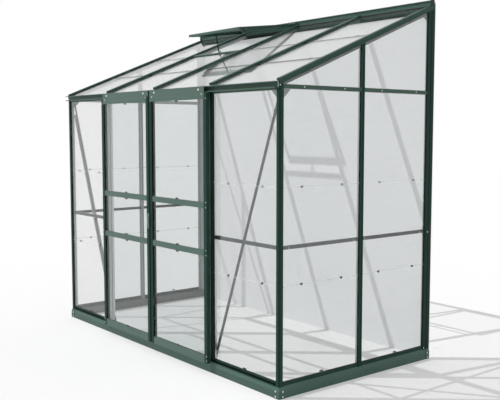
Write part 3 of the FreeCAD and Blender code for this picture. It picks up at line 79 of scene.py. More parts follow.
CAP_DEPTH = 0.0065
PANE_DEPTH = 0.0052

# The base: its crease, how far it leans in above that, and the depth of its painted skin, in metres

BASE_CREASE = BASE_TOP - 0.021
BASE_LEAN = 0.005
BASE_SKIN = 0.0012

# How far inside the outer faces of the panes the paint ends, in metres, which is a little outside them

PAINT_EDGE = -0.0002

# Half of the front that the doors take, and the band between the door posts that stays bare, in metres

DOORS_HALF = 0.6
BARE_BAND_LEFT = 0.0075
BARE_BAND_HALF = 0.608

# Where the rays that seat the fixings start, clear of the frame, in metres

AHEAD_Y = -0.7
ASIDE_X = 1.3
ABOVE_Z = 2.4

# The two sides of the length and their signs, and the ways that rays and fixings take

SIDES = (("left", -1), ("right", 1))
RIGHTWARD = (1, 0, 0)
FORWARD = (0, -1, 0)
BACKWARD = (0, 1, 0)
UPWARD = (0, 0, 1)
DOWNWARD = (0, 0, -1)


def linear(code):
    """Scene colour from a six-digit hexadecimal display colour."""
    values = []
    for start in (1, 3, 5):
        part = int(code[start:start + 2], 16) / 255.0
        values.append(part / 12.92 if part <= 0.04045 else ((part + 0.055) / 1.055) ** 2.4)
    return tuple(values)


def colour(title, description, code):
    """Colour property with its default."""
    return bpy.props.FloatVectorProperty(
        name=title, description=description, default=linear(code), size=3, min=0.0, max=1.0, subtype="COLOR"
    )


def length(title, description, metres):
    """Length property with its default, in metres."""
    return bpy.props.FloatProperty(
        name=title, description=description, default=metres, min=0.0, unit="LENGTH", subtype="DISTANCE"
    )


def share(title, description, value):
    """Share between nothing and all."""
    return bpy.props.FloatProperty(
        name=title, description=description, default=value, min=0.0, max=1.0, subtype="FACTOR"
    )


class GreenhouseColours(bpy.types.PropertyGroup):
    """Colours of the paint, the bare metal, the glass and the fittings."""

    # One green paint covers the frame: the darker post and door paint (sills too) is painted shade, and the
    # lighter rail, ridge and door rail paint is painted light.
    base_paint: colour("Base paint", "Paint of the folded steel base", "#4a655c")
    post_paint: colour("Post paint", "Paint of the posts and the sills", "#213e34")
    rail_paint: colour("Rail paint", "Paint of the eave beam and the gable eave bars", "#476156")
    roof_paint: colour("Roof paint", "Paint of the roof bars, the rafters and the vent stay", "#304b41")
    ridge_paint: colour("Ridge paint", "Paint of the ridge and the vent frame", "#4c685e")
    door_paint: colour("Door paint", "Paint of the door stiles", "#213e34")
    door_rail_paint: colour("Door rail paint", "Paint of the door headers and rails", "#4c645b")
    bare_metal: colour("Bare metal", "Mill-finished aluminium inside the panes", "#b6b9ba")
    # Painted light: the door posts' bare metal is far lighter than the bare metal elsewhere, lifting their
    # shade.
    lit_post_metal: colour("Bright metal", "Bare aluminium of the door posts", "#eceeee")
    galvanised: colour("Galvanised steel", "Inner side of the steel base", "#8d8d8a")
    # The dull metal is a darker grey than the bare metal.
    dull_metal: colour("Dull metal", "Weathered aluminium of the middle bars and the sills", "#4f5755")
    rafter_metal: colour("Rafter metal", "Bare underside of the rafters", "#666c6b")
    plate_metal: colour("Plate metal", "Rolled aluminium of the gussets, braces and clips", "#8f9896")
    zinc: colour("Zinc", "Plated screws, bolts and nuts", "#f0f1ee")
    door_glass: colour("Door glass tint", "What one face of a door pane lets through", "#f0f2f2")
    glass: colour("Glass tint", "What one face of a pane lets through", "#fbfbfb")
    haze: colour("Glass haze", "Faint bloom on the panes and the joints of the walls", "#eceeee")
    joint: colour("Roof joint", "Joints between the panes of the roof", "#3c4242")
    clip: colour("Clip", "Sprung glazing clips and the lowest seam clips", "#3a4442")
    nylon: colour("Nylon", "Rollers and guide shoes", "#d8d5c9")
    handle: colour("Handle", "Moulded door handle", "#5b746c")
    rubber: colour("Rubber", "Meeting seal, ridge bead and sleeves", "#141716")
    plastic: colour("Plastic", "Ridge caps, door catch and the depth of the pane slots", "#1c2322")


class GreenhouseSizes(bpy.types.PropertyGroup):
    """Sizes of the small repeated fixings and of the roof cappings."""

    screw_head: length("Screw head", "Width over a screw head", 0.0075)
    screw_rise: length("Screw rise", "Height of a screw head", 0.0022)
    nut_width: length("Nut width", "Width over the corners of a nut", 0.0115)
    nut_height: length("Nut height", "Height of a nut", 0.005)
    bolt_end: length("Bolt end", "How far a bolt stands out of its nut", 0.003)
    clip_length: length("Clip length", "Length of a glazing clip", 0.028)
    clip_width: length("Clip width", "Width of a glazing clip", 0.008)
    clip_sheet: length("Clip sheet", "Thickness of a glazing clip", 0.0012)
    clip_bow: length("Clip bow", "Radius of the bow of a glazing clip", 0.0028)
    capping_width: length("Capping width", "Width of a roof bar capping", 0.036)
    capping_rise: length("Capping rise", "How far a capping stands above its roof bar", 0.0055)


class GreenhouseStudio(bpy.types.PropertyGroup):
    """Light, floor and wall around the greenhouse."""

    sun: bpy.props.FloatProperty(
        name="Key light", description="Strength of the key light", default=2.1, min=0.0
    )
    sky: bpy.props.FloatProperty(
        name="Soft light", description="Strength of the even light from all round", default=0.62, min=0.0
    )
    softness: bpy.props.FloatProperty(
        name="Softness",
        description="Apparent width of the key light",
        default=math.radians(0.4),
        min=0.0,
        subtype="ANGLE",
        unit="ROTATION",
    )
    floor: colour("Floor", "Pale studio floor", "#dadada")
    wall: colour("Wall", "Pale house wall behind the open side", "#d3d6d7")
    wall_lift: share("Wall lift", "What the wall adds to its shade for the camera", 0.19)
    floor_lift: share("Floor lift", "What the floor adds to its shade for the camera", 0.2)


# Node helpers

class Tree:
    """Short way to add nodes to a node tree and to join them."""

    def __init__(self, tree):
        self.tree = tree

    def add(self, kind, inputs=None, **settings):
        """New node; inputs are values or the sockets that feed them."""
        node = self.tree.nodes.new(kind)
        for name, value in settings.items():
            setattr(node, name, value)
        for name, value in (inputs or {}).items():
            self.feed(node.inputs[name], value)
        return node

    def feed(self, socket, value):
        """Links a socket, or sets its value."""
        if isinstance(value, bpy.types.NodeSocket):
            self.tree.links.new(value, socket)
        else:
            socket.default_value = value

    def math(self, operation, *values):
        """Output of a Math node."""
        node = self.add("ShaderNodeMath", operation=operation)
        for socket, value in zip(node.inputs, values):
            self.feed(socket, value)
        return node.outputs[0]

    def times(self, first, second):
        """Product of two values or outputs."""
        return self.math("MULTIPLY", first, second)

    def size(self, value):
        """Value without its sign."""
        return self.math("ABSOLUTE", value)

    def below(self, value, limit):
        """One where a value is under its limit, and nought elsewhere."""
        return self.math("LESS_THAN", value, limit)

    def above(self, value, limit):
        """One where a value is over its limit, and nought elsewhere."""
        return self.math("GREATER_THAN", value, limit)

    def highest(self, first, *others):
        """Highest of several outputs, which joins masks."""
        for other in others:
            first = self.math("MAXIMUM", first, other)
        return first

    def mix(self, factor, first, second):
        """Output of a Mix node between two colours."""
        node = self.add("ShaderNodeMix", data_type="RGBA")
        for socket, value in zip((node.inputs[0], node.inputs[6], node.inputs[7]), (factor, first, second)):
            self.feed(socket, value)
        return node.outputs[2]

    def blend(self, factor, first, second):
        """Output of a Mix node between two numbers."""
        node = self.add("ShaderNodeMix", data_type="FLOAT")
        for socket, value in zip((node.inputs[0], node.inputs[2], node.inputs[3]), (factor, first, second)):
            self.feed(socket, value)
        return node.outputs[0]

    def noise(self, scale, detail=2.0, roughness=0.5, stretch=(1.0, 1.0, 1.0), turn=(0.0, 0.0, 0.0)):
        """Noise on Object coordinates, stretched and turned."""
        place = self.add("ShaderNodeTexCoord").outputs["Object"]
        mapping = self.add("ShaderNodeMapping", {"Vector": place, "Rotation": turn, "Scale": stretch})
        values = {"Vector": mapping.outputs[0], "Scale": scale, "Detail": detail, "Roughness": roughness}
        return self.add("ShaderNodeTexNoise", values).outputs["Fac"]

    def ranged(self, value, low, high, start=0.3, end=0.7):
        """Value spread from start..end to low..high, kept in its range."""
        values = {"Value": value, "From Min": start, "From Max": end, "To Min": low, "To Max": high}
        return self.add("ShaderNodeMapRange", values).outputs["Result"]

    def place(self):
        """X, Y and Z of a point of the piece, in metres."""
        point = self.add("ShaderNodeTexCoord").outputs["Object"]
        return tuple(self.add("ShaderNodeSeparateXYZ", {"Vector": point}).outputs)

    def looking(self):
        """X, Y and Z of the way that a face looks."""
        normal = self.add("ShaderNodeNewGeometry").outputs["Normal"]
        return tuple(self.add("ShaderNodeSeparateXYZ", {"Vector": normal}).outputs)

    def bump(self, strength, distance, height, under=None):
        """Normal of a fine relief, laid over another one where that is given."""
        inputs = {"Strength": strength, "Distance": distance, "Height": height}
        if under:
            inputs["Normal"] = under
        return self.add("ShaderNodeBump", inputs).outputs[0]

    def coat(self, inputs):
        """Principled shader with these inputs."""
        return self.add("ShaderNodeBsdfPrincipled", inputs).outputs[0]

    def layered(self, factor, first, second):
        """Shader that passes from the first to the second."""
        node = self.add("ShaderNodeMixShader", {"Fac": factor})
        self.feed(node.inputs[1], first)
        self.feed(node.inputs[2], second)
        return node.outputs[0]

    def end(self, shader, kind="ShaderNodeOutputMaterial"):
        """Gives a material, or a world, its surface."""
        self.add(kind, {"Surface": shader})


def opaque(values):
    """Colour with a full alpha."""
    return (values[0], values[1], values[2], 1.0)


def scaled(values, factor):
    """Colour made lighter or darker, with a full alpha."""
    return opaque([min(1.0, value * factor) for value in values])


def new_material(name):
    """Empty material and its tree."""
    material = bpy.data.materials.new(name)
    material.use_nodes = True
    tree = Tree(material.node_tree)
    tree.tree.nodes.clear()
    return material, tree


def stored(name, maker):
    """Material by name, made when it is first asked for."""
    return bpy.data.materials.get(name) or maker(name)


# Extrusion directions: how the fine drawing lines of a bar are stretched and turned

DRAWN = 0.012
UPRIGHT = ((1.0, 1.0, DRAWN), (0.0, 0.0, 0.0))
ALONG_X = ((DRAWN, 1.0, 1.0), (0.0, 0.0, 0.0))
ALONG_Y = ((1.0, DRAWN, 1.0), (0.0, 0.0, 0.0))
UP_ROOF = ((1.0, DRAWN, 1.0), (-ROOF_PITCH, 0.0, 0.0))
ROLLED = ((1.0, 1.0, 1.0), (0.0, 0.0, 0.0))

# Coats of paint: roughness and sheen

BASE_COAT = (0.36, 0.20)
POST_COAT = (0.45, 0.10)
RAIL_COAT = (0.38, 0.18)
ROOF_COAT = (0.40, 0.12)
STAY_COAT = (0.40, 0.15)
DOOR_RAIL_COAT = (0.36, 0.25)

# Levels of the ridge's painted light and shade: depth under its top, and the share of its paint that it
# keeps below

RIDGE_TOP_SHADE = 0.72
RIDGE_LIGHT_LEVELS = ((0.013, 1.5), (0.040, 1.05), (0.052, 0.22))


def outside_mask(tree, inward=PAINT_EDGE):
    """One past a surface this far inside the outer faces of the panes, and nought within it."""
    x, y, z = tree.place()
    front = tree.below(y, FRONT_PANE_Y + inward)
    side = tree.above(tree.size(x), GABLE_PANE_X - inward)
    height = tree.math(
        "ADD", tree.times(z, math.cos(ROOF_PITCH)), tree.times(y, -math.sin(ROOF_PITCH))
    )
    level = ROOF_FRONT.z * math.cos(ROOF_PITCH) - ROOF_FRONT.y * math.sin(ROOF_PITCH)
    return tree.highest(front, side, tree.above(height, level - CAP_DEPTH - inward))


def flank_mask(tree, inward=PAINT_EDGE):
    """Like the outside, but the edges of the door posts towards the doorway are left bare."""
    x, _, _ = tree.place()
    bare = tree.below(tree.size(tree.math("ADD", x, BARE_BAND_LEFT)), BARE_BAND_HALF)
    return tree.times(outside_mask(tree, inward), tree.math("SUBTRACT", 1.0, bare))


def base_mask(tree):
    """One on the face and the top of the folded base, and nought on its inner side."""
    x, y, z = tree.place()
    upper_bend, top_face = BASE_TOP - 0.002, BASE_TOP - 0.0004
    lean = tree.ranged(z, 0.0, BASE_LEAN, BASE_CREASE, upper_bend)
    side = tree.above(tree.math("ADD", tree.size(x), lean), LENGTH_END - BASE_SKIN)
    front = tree.above(tree.math("SUBTRACT", lean, y), -FRONT_Y - BASE_SKIN)
    return tree.highest(front, side, tree.above(z, top_face))


def base_light_and_shade(tree):
    """Painted light and shade on the front of the base: painted shade under its crease, and painted light at
    the doors, where the leaves cast their shadow.
    """
    upper, lower, door_shadow_lift = 1.02, 0.80, 1.5
    rail_back, under_crease = FRONT_Y + 0.02, BASE_CREASE - 0.004
    x, y, z = tree.place()
    front = tree.below(y, rail_back)
    low = tree.below(z, under_crease)
    doors = tree.below(tree.size(x), DOORS_HALF)
    kept = tree.blend(tree.times(front, low), upper, lower)
    return tree.times(kept, tree.blend(tree.times(front, doors), 1.0, door_shadow_lift))


def stile_painted_shade(tree):
    """Painted shade on a stile: darker on its sides at the panes, and where the leaves meet."""
    pane_side_shade, meeting_shade = 0.12, 0.62
    meeting_x, meeting_reach = 0.018, 0.016
    side_face, behind_face = 0.8, LEAF_FRONT_Y + 0.001
    x, y, _ = tree.place()
    sideways = tree.above(tree.size(tree.looking()[0]), side_face)
    inner = tree.below(tree.size(x), DOORS_HALF)
    behind = tree.above(y, behind_face)
    held = tree.times(tree.times(sideways, inner), behind)
    meeting = tree.math("COMPARE", x, meeting_x, meeting_reach)
    return tree.times(tree.blend(held, 1.0, pane_side_shade), tree.blend(meeting, 1.0, meeting_shade))


def door_post_painted_shade(tree):
    """Painted shade on a door post: the right one is darker."""
    right_post_shade = 0.6
    return tree.blend(tree.above(tree.place()[0], 0.0), 1.0, right_post_shade)


def ridge_light_and_shade(tree):
    """Painted light and shade that each level of the ridge keeps: shade along its top, light on its face
    above the panes, and dark shade below them.
    """
    height = tree.place()[2]
    kept = RIDGE_TOP_SHADE
    for depth, lower in RIDGE_LIGHT_LEVELS:
        kept = tree.blend(tree.below(height, RIDGE_TOP - depth), kept, lower)
    return kept


def wall_bay_painted_shade(tree):
    """Painted shade on a gable's middle bar: darker in the bay by the wall."""
    wall_bay_shade = 0.5
    return tree.blend(tree.above(tree.place()[1], GABLE_MIDDLE_Y), 1.0, wall_bay_shade)


def underside_painted_shade(tree):
    """Painted shade on sheet metal: darker on its undersides, darkest near the floor."""
    darkened, least, start_height, per_metre, downwards = 0.36, 0.1, 0.08, 2.5, -0.1
    fade = tree.times(tree.math("SUBTRACT", tree.place()[2], start_height), per_metre)
    fade = tree.math("MINIMUM", tree.math("MAXIMUM", fade, least), 1.0)
    under = tree.below(tree.looking()[2], downwards)
    return tree.blend(under, 1.0, tree.times(fade, darkened))


def banded(tree, shade, bands):
    """Colour times the painted light and shade that each place keeps, where bands are given."""
    if bands is None:
        return shade
    inputs = {"Vector": shade, "Scale": bands(tree)}
    return tree.add("ShaderNodeVectorMath", inputs, operation="SCALE").outputs[0]


def painted(tree, paint, lines, coat, bands):
    """Shader inputs of sprayed powder paint on a drawn bar."""
    stretch, turn = lines
    rough, sheen = coat
    cloud = tree.noise(3.1, 3.0, 0.55)
    streak = tree.noise(420.0, 2.0, 0.6, stretch, turn)
    grain = tree.noise(900.0, 2.0, 0.5)
    shade = tree.mix(tree.ranged(cloud, 0.0, 1.0), scaled(paint, 0.93), scaled(paint, 1.07))
    shade = tree.mix(tree.ranged(streak, 0.0, 0.22), shade, scaled(paint, 1.28))
    return {
        "Base Color": banded(tree, shade, bands),
        "Roughness": tree.ranged(grain, rough - 0.05, rough + 0.06),
        "Normal": tree.bump(0.10, 0.0003, grain, tree.bump(0.10, 0.0004, streak)),
        "Specular IOR Level": sheen,
    }


def bare_colour(tree, metal, lines):
    """Colour of mill-finished aluminium with its drawing lines."""
    stretch, turn = lines
    streak = tree.noise(260.0, 3.0, 0.65, stretch, turn)
    cloud = tree.noise(5.0, 2.0, 0.5)
    shade = tree.mix(tree.ranged(streak, 0.0, 1.0), scaled(metal, 0.93), scaled(metal, 1.05))
    return tree.mix(tree.ranged(cloud, 0.0, 0.25), shade, scaled(metal, 0.9))


def paint_material(name, paint, lines, coat, bands=None):
    """Powder paint all over a piece."""
    material, tree = new_material(name)
    tree.end(tree.coat(painted(tree, paint, lines, coat, bands)))
    return material


def two_tone_material(
    name, paint, metal, lines, coat, mask=outside_mask, bands=None, seal=None, metallic=0.3
):
    """Powder paint where the mask is one, a seal's tone in the depth of the panes, and bare metal within."""
    material, tree = new_material(name)
    outside = mask(tree)
    inputs = painted(tree, paint, lines, coat, bands)
    bare = bare_colour(tree, metal, lines)
    if seal:
        bare = tree.mix(mask(tree, PANE_DEPTH), bare, opaque(seal))
    inputs["Base Color"] = tree.mix(outside, bare, inputs["Base Color"])
    inputs["Roughness"] = tree.blend(outside, 0.5, inputs["Roughness"])
    inputs["Metallic"] = tree.blend(outside, metallic, 0.0)
    tree.end(tree.coat(inputs))
    return material


def bare_material(name, metal, lines, rough=0.45, metallic=0.3, bands=None):
    """Bare metal with drawing lines."""
    material, tree = new_material(name)
    stretch, turn = lines
    shade = banded(tree, bare_colour(tree, metal, lines), bands)
    streak = tree.noise(300.0, 3.0, 0.6, stretch, turn)
    inputs = {
        "Base Color": shade,
        "Roughness": tree.ranged(streak, rough - 0.08, rough + 0.1),
        "Metallic": metallic,
        "Normal": tree.bump(0.15, 0.0003, streak),
    }
    tree.end(tree.coat(inputs))
    return material


def rolled_material(name, metal, rough=0.5, low=None, bands=None):
    """Smooth rolled sheet metal; a low tone colours the row of pieces nearest the floor."""
    material, tree = new_material(name)
    cloud = tree.noise(9.0, 2.0, 0.5)
    grain = tree.noise(1300.0, 2.0, 0.5)
    shade = tree.mix(tree.ranged(cloud, 0.0, 1.0), scaled(metal, 0.96), scaled(metal, 1.04))
    if low:
        lowest = tree.below(tree.place()[2], sum(PANE_SEAMS) / 2)
        shade = tree.mix(lowest, shade, opaque(low))
    inputs = {
        "Base Color": banded(tree, shade, bands),
        "Roughness": tree.ranged(grain, rough - 0.04, rough + 0.04),
        "Metallic": 0.25,
        "Normal": tree.bump(0.06, 0.0002, grain),
    }
    tree.end(tree.coat(inputs))
    return material


def moulded_material(name, tint, rough, sheen):
    """Moulded plastic or rubber with a fine spark-eroded grain."""
    material, tree = new_material(name)
    cloud = tree.noise(40.0, 3.0, 0.5)
    grain = tree.noise(1600.0, 2.0, 0.6)
    inputs = {
        "Base Color": tree.mix(tree.ranged(cloud, 0.0, 1.0), scaled(tint, 0.88), scaled(tint, 1.12)),
        "Roughness": tree.ranged(grain, rough - 0.07, rough + 0.08),
        "Normal": tree.bump(0.2, 0.0002, grain),
        "Specular IOR Level": sheen,
    }
    tree.end(tree.coat(inputs))
    return material


def fixing_material(name, metal, dark):
    """Plated fixing with painted shade in its driving recess; the recess is marked on the mesh."""
    material, tree = new_material(name)
    recess = tree.add("ShaderNodeAttribute", attribute_name="recess").outputs["Fac"]
    cloud = tree.noise(700.0, 2.0, 0.6)
    shade = tree.mix(tree.ranged(cloud, 0.0, 1.0), scaled(metal, 0.85), scaled(metal, 1.08))
    inputs = {
        "Base Color": tree.mix(recess, shade, opaque(dark)),
        "Roughness": tree.ranged(cloud, 0.3, 0.45),
        "Metallic": tree.blend(recess, 0.25, 0.0),
    }
    tree.end(tree.coat(inputs))
    return material


def seam_mask(tree, seams, half_width, up_roof):
    """One along the seams, given as heights, or on the roof as distances back from the front."""
    _, y, z = tree.place()
    position = tree.math("SUBTRACT", y, ROOF_FRONT.y) if up_roof else z
    offsets = [tree.size(tree.math("SUBTRACT", position, seam)) for seam in seams]
    return tree.highest(*[tree.below(offset, half_width) for offset in offsets])


def glass_material(name, tint, haze, joint=None, seams=(), half_width=0.0, cover=0.0, up_roof=False):
    """Clear glazing that mirrors more the flatter it is seen, with a faint bloom and joints at its seams."""
    material, tree = new_material(name)
    veil = tree.times(tree.noise(60.0, 2.0, 0.5, (0.15, 0.15, 1.0)), 0.03)
    shade = opaque(haze)
    if seams:
        seam = seam_mask(tree, seams, half_width, up_roof)
        lit = tree.math("SUBTRACT", 1.0, tree.add("ShaderNodeLightPath").outputs["Is Shadow Ray"])
        veil = tree.highest(veil, tree.times(seam, tree.times(lit, cover)))
        shade = tree.mix(seam, shade, opaque(joint))
    facing = tree.add("ShaderNodeLayerWeight", {"Blend": 0.5}).outputs["Facing"]
    mirror = tree.math("MULTIPLY_ADD", tree.math("POWER", facing, 5.0), 0.96, 0.04)
    clear = tree.add("ShaderNodeBsdfTransparent", {"Color": opaque(tint)}).outputs[0]
    inputs = {"Color": (0.81, 0.82, 0.82, 1.0), "Roughness": 0.02}
    shine = tree.add("ShaderNodeBsdfGlossy", inputs).outputs[0]
    film = tree.coat({"Base Color": shade, "Roughness": 0.3, "Specular IOR Level": 0.2})
    tree.end(tree.layered(veil, tree.layered(mirror, clear, shine), film))
    return material


# Placing and dressing

def dress(material, *nodes):
    """Gives CAD nodes a finished material."""
    for name in nodes:
        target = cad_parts[name]
        if not target.material_slots:
            target.data.materials.append(material)
        for slot in target.material_slots:
            slot.material = material


def seat(nodes, start, direction, aside):
    """First point that a ray meets on the nodes; it is cast a little aside where a hole is in its way."""
    origin = Vector(start) + Vector(aside)
    towards = Vector(direction).normalized()
    best = None
    for name in nodes:
        hit, point, _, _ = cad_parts[name].ray_cast(origin, towards)
        if hit and (best is None or (point - origin).length < (best - origin).length):
            best = point.copy()
    if best is None:
        raise RuntimeError("No surface of %s from %s" % (", ".join(nodes), tuple(start)))
    return best - Vector(aside)


def seated(nodes, starts, direction, aside=(0.0, 0.0, 0.0)):
    """Seats of like fixings, each with the way it faces."""
    way = -Vector(direction).normalized()
    return [(seat(nodes, start, direction, aside), way) for start in starts]


def up_roof_line(x, start_y, end_y, lift):
    """Line up the roof at one place along the length, lifted off the top of the bars."""
    points = []
    for y in (start_y, end_y):
        level = ROOF_FRONT.z + (y - ROOF_FRONT.y) * math.tan(ROOF_PITCH)
        points.append((x, y - lift * math.sin(ROOF_PITCH), level + lift * math.cos(ROOF_PITCH)))
    return points


def linked(name, data):
    """Object with this data, put in the scene."""
    item = bpy.data.objects.new(name, data)
    bpy.context.scene.collection.objects.link(item)
    return item


def point_mesh(name, seats, along):
    """Object of loose points that carry the way each one faces and lies."""
    mesh = bpy.data.meshes.new(name)
    mesh.from_pydata([tuple(point) for point, _ in seats], [], [])
    facing = mesh.attributes.new("facing", "FLOAT_VECTOR", "POINT")
    lying = mesh.attributes.new("lying", "FLOAT_VECTOR", "POINT")
    for index, (_, way) in enumerate(seats):
        facing.data[index].vector = tuple(way)
        lying.data[index].vector = tuple(along)
    return linked(name, mesh)


def line_mesh(name, lines):
    """Object of loose edges between pairs of points."""
    mesh = bpy.data.meshes.new(name)
    points = [tuple(point) for line in lines for point in line]
    mesh.from_pydata(points, [(index, index + 1) for index in range(0, len(points), 2)], [])
    return linked(name, mesh)


# Fixings and strips as Geometry Nodes

def new_geometry_tree(name, sizes):
    """Geometry node group with named size inputs; gives its tree and its inputs."""
    group = bpy.data.node_groups.new(name, "GeometryNodeTree")
    group.interface.new_socket("Geometry", in_out="INPUT", socket_type="NodeSocketGeometry")
    for title in sizes:
        socket = group.interface.new_socket(title, in_out="INPUT", socket_type="NodeSocketFloat")
        socket.subtype = "DISTANCE"
    group.interface.new_socket("Geometry", in_out="OUTPUT", socket_type="NodeSocketGeometry")
    tree = Tree(group)
    return tree, tree.add("NodeGroupInput").outputs


def ended(tree, geometry, material):
    """Realizes and dresses a geometry, and gives the finished node group."""
    solid = tree.add("GeometryNodeRealizeInstances", {"Geometry": geometry})
    dressed = tree.add("GeometryNodeSetMaterial", {"Geometry": solid.outputs[0], "Material": material})
    tree.add("NodeGroupOutput", {"Geometry": dressed.outputs[0]})
    return tree.tree


def named_vector(tree, name):
    """Output of a vector that the points carry."""
    node = tree.add("GeometryNodeInputNamedAttribute", {"Name": name}, data_type="FLOAT_VECTOR")
    return node.outputs["Attribute"]


def placed_on_points(tree, points, part, material):
    """Puts a part on every point, turned to its way, and gives the finished node group."""
    inputs = {"Vector": named_vector(tree, "facing")}
    first = tree.add("FunctionNodeAlignRotationToVector", inputs, axis="Z")
    inputs = {"Rotation": first.outputs[0], "Vector": named_vector(tree, "lying")}
    turn = tree.add("FunctionNodeAlignRotationToVector", inputs, axis="X", pivot_axis="Z")
    inputs = {"Points": points, "Instance": part, "Rotation": turn.outputs[0]}
    return ended(tree, tree.add("GeometryNodeInstanceOnPoints", inputs).outputs[0], material)


def joined(tree, *parts):
    """Output that holds several geometries."""
    node = tree.add("GeometryNodeJoinGeometry")
    for part in parts:
        tree.tree.links.new(part, node.inputs[0])
    return node.outputs[0]


def vector(tree, x=0.0, y=0.0, z=0.0):
    """Vector output from three values or outputs."""
    return tree.add("ShaderNodeCombineXYZ", {"X": x, "Y": y, "Z": z}).outputs[0]


def moved(tree, part, height=0.0, scale=(1.0, 1.0, 1.0), turn=(0.0, 0.0, 0.0)):
    """Output with a geometry turned, scaled and raised."""
    inputs = {"Geometry": part, "Translation": vector(tree, z=height), "Rotation": turn, "Scale": scale}
    return tree.add("GeometryNodeTransform", inputs).outputs[0]


def marked(tree, part, value):
    """Geometry that carries how much it is part of a recess, which takes painted shade."""
    inputs = {"Geometry": part, "Name": "recess", "Value": value}
    return tree.add("GeometryNodeStoreNamedAttribute", inputs, data_type="FLOAT", domain="POINT").outputs[0]


def disc(tree, radius, depth, sides):
    """Output of an upright cylinder, centred on its point."""
    inputs = {"Vertices": sides, "Radius": radius, "Depth": depth}
    return tree.add("GeometryNodeMeshCylinder", inputs).outputs["Mesh"]


def rounded_outline(tree, width, height, corner, count):
    """Curve round a rectangle with rounded corners."""
    inputs = {"Width": width, "Height": height}
    outline = tree.add("GeometryNodeCurvePrimitiveQuadrilateral", inputs).outputs["Curve"]
    inputs = {"Curve": outline, "Count": count, "Radius": corner}
    return tree.add("GeometryNodeFilletCurve", inputs, mode="POLY").outputs[0]


def screw_tree(name, material):
    """Pan head with a flange and a cross recess."""
    tree, sizes = new_geometry_tree(name, ("Head Width", "Head Rise"))
    radius = tree.times(sizes["Head Width"], 0.5)
    rise = sizes["Head Rise"]
    flange = disc(tree, radius, tree.times(rise, 0.5), 16)
    ball = tree.add("GeometryNodeMeshUVSphere", {"Segments": 16, "Rings": 8, "Radius": 1.0}).outputs["Mesh"]
    inner = tree.times(radius, 0.9)
    dome = moved(tree, ball, scale=vector(tree, inner, inner, rise))
    dome = tree.add("GeometryNodeSetShadeSmooth", {"Geometry": dome}).outputs[0]
    size = vector(tree, tree.times(radius, 1.05), tree.times(radius, 0.22), tree.times(rise, 0.5))
    slot = tree.add("GeometryNodeMeshCube", {"Size": size}).outputs["Mesh"]
    height = tree.times(rise, 0.78)
    cross = joined(
        tree, moved(tree, slot, height), moved(tree, slot, height, turn=(0.0, 0.0, math.pi / 2))
    )
    # The cross recess is marked to take painted shade.
    part = joined(tree, marked(tree, joined(tree, flange, dome), 0.0), marked(tree, cross, 1.0))
    return placed_on_points(tree, sizes["Geometry"], part, material)


def nut_tree(name, material):
    """Hexagon nut on a washer, with the bolt's end standing out of it."""
    tree, sizes = new_geometry_tree(name, ("Nut Width", "Nut Height", "Bolt End"))
    radius = tree.times(sizes["Nut Width"], 0.5)
    height = sizes["Nut Height"]
    washer = disc(tree, tree.times(radius, 1.2), tree.times(height, 0.4), 20)
    nut = moved(tree, disc(tree, radius, height, 6), tree.times(height, 0.65))
    crown = moved(tree, disc(tree, tree.times(radius, 0.82), height, 16), tree.times(height, 0.72))
    tall = tree.math("ADD", tree.times(height, 1.15), sizes["Bolt End"])
    thread = moved(tree, disc(tree, tree.times(radius, 0.5), tall, 12), tree.times(tall, 0.5))
    plain = marked(tree, joined(tree, washer, nut, crown), 0.0)
    # The bolt's thread takes a quarter of the painted shade of a recess.
    part = joined(tree, plain, marked(tree, thread, 0.25))
    return placed_on_points(tree, sizes["Geometry"], part, material)


def clip_tree(name, material):
    """Sprung clip: a rounded strip with a bow along its middle."""
    tree, sizes = new_geometry_tree(name, ("Clip Length", "Clip Width", "Clip Sheet", "Clip Bow"))
    long, wide, thick = sizes["Clip Length"], sizes["Clip Width"], sizes["Clip Sheet"]
    outline = rounded_outline(tree, long, wide, tree.times(wide, 0.3), 4)
    face = tree.add("GeometryNodeFillCurve", {"Curve": outline}, mode="NGONS").outputs[0]
    sheet = tree.add("GeometryNodeExtrudeMesh", {"Mesh": face, "Offset Scale": thick}).outputs[0]
    under = tree.add("GeometryNodeFlipFaces", {"Mesh": face}).outputs[0]
    bow = disc(tree, sizes["Clip Bow"], tree.times(long, 0.8), 12)
    bow = moved(tree, bow, thick, turn=(0.0, math.pi / 2, 0.0))
    return placed_on_points(tree, sizes["Geometry"], joined(tree, sheet, under, bow), material)


def strip_tree(name, material):
    """Strip of a rounded section along every line."""
    tree, sizes = new_geometry_tree(name, ("Width", "Height", "Corner"))
    line = tree.add("GeometryNodeMeshToCurve", {"Mesh": sizes["Geometry"]}).outputs[0]
    line = tree.add("GeometryNodeSetCurveNormal", {"Curve": line}, mode="Z_UP").outputs[0]
    outline = rounded_outline(tree, sizes["Width"], sizes["Height"], sizes["Corner"], 2)
    inputs = {"Curve": line, "Profile Curve": outline, "Fill Caps": True}
    return ended(tree, tree.add("GeometryNodeCurveToMesh", inputs).outputs[0], material)


def tree_by_name(name, maker, material):
    """Node group by name, made when it is first asked for."""
    return bpy.data.node_groups.get(name) or maker(name, material)


def finished(points, name, group, values, body):
    """Plain mesh of a node group's result on points or lines, which it uses up, riding on its body."""
    modifier = points.modifiers.new("Fixings", "NODES")
    modifier.node_group = group
    for item in group.interface.items_tree:
        if item.in_out == "INPUT" and item.name in values:
            modifier[item.identifier] = values[item.name]
    bpy.context.view_layer.update()
    evaluated = points.evaluated_get(bpy.context.evaluated_depsgraph_get())
    mesh = bpy.data.meshes.new_from_object(evaluated)
    mesh.name = name
    points.modifiers.remove(modifier)
    bpy.data.objects.remove(points)
    if not mesh.polygons:
        raise RuntimeError("Nothing grew for " + name)
    piece = linked(name, mesh)
    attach(piece, body)
    return piece


def outward_faces(mesh):
    """Turns the faces of closed shells outwards."""
    work = bmesh.new()
    work.from_mesh(mesh)
    bmesh.ops.recalc_face_normals(work, faces=work.faces)
    work.to_mesh(mesh)
    work.free()


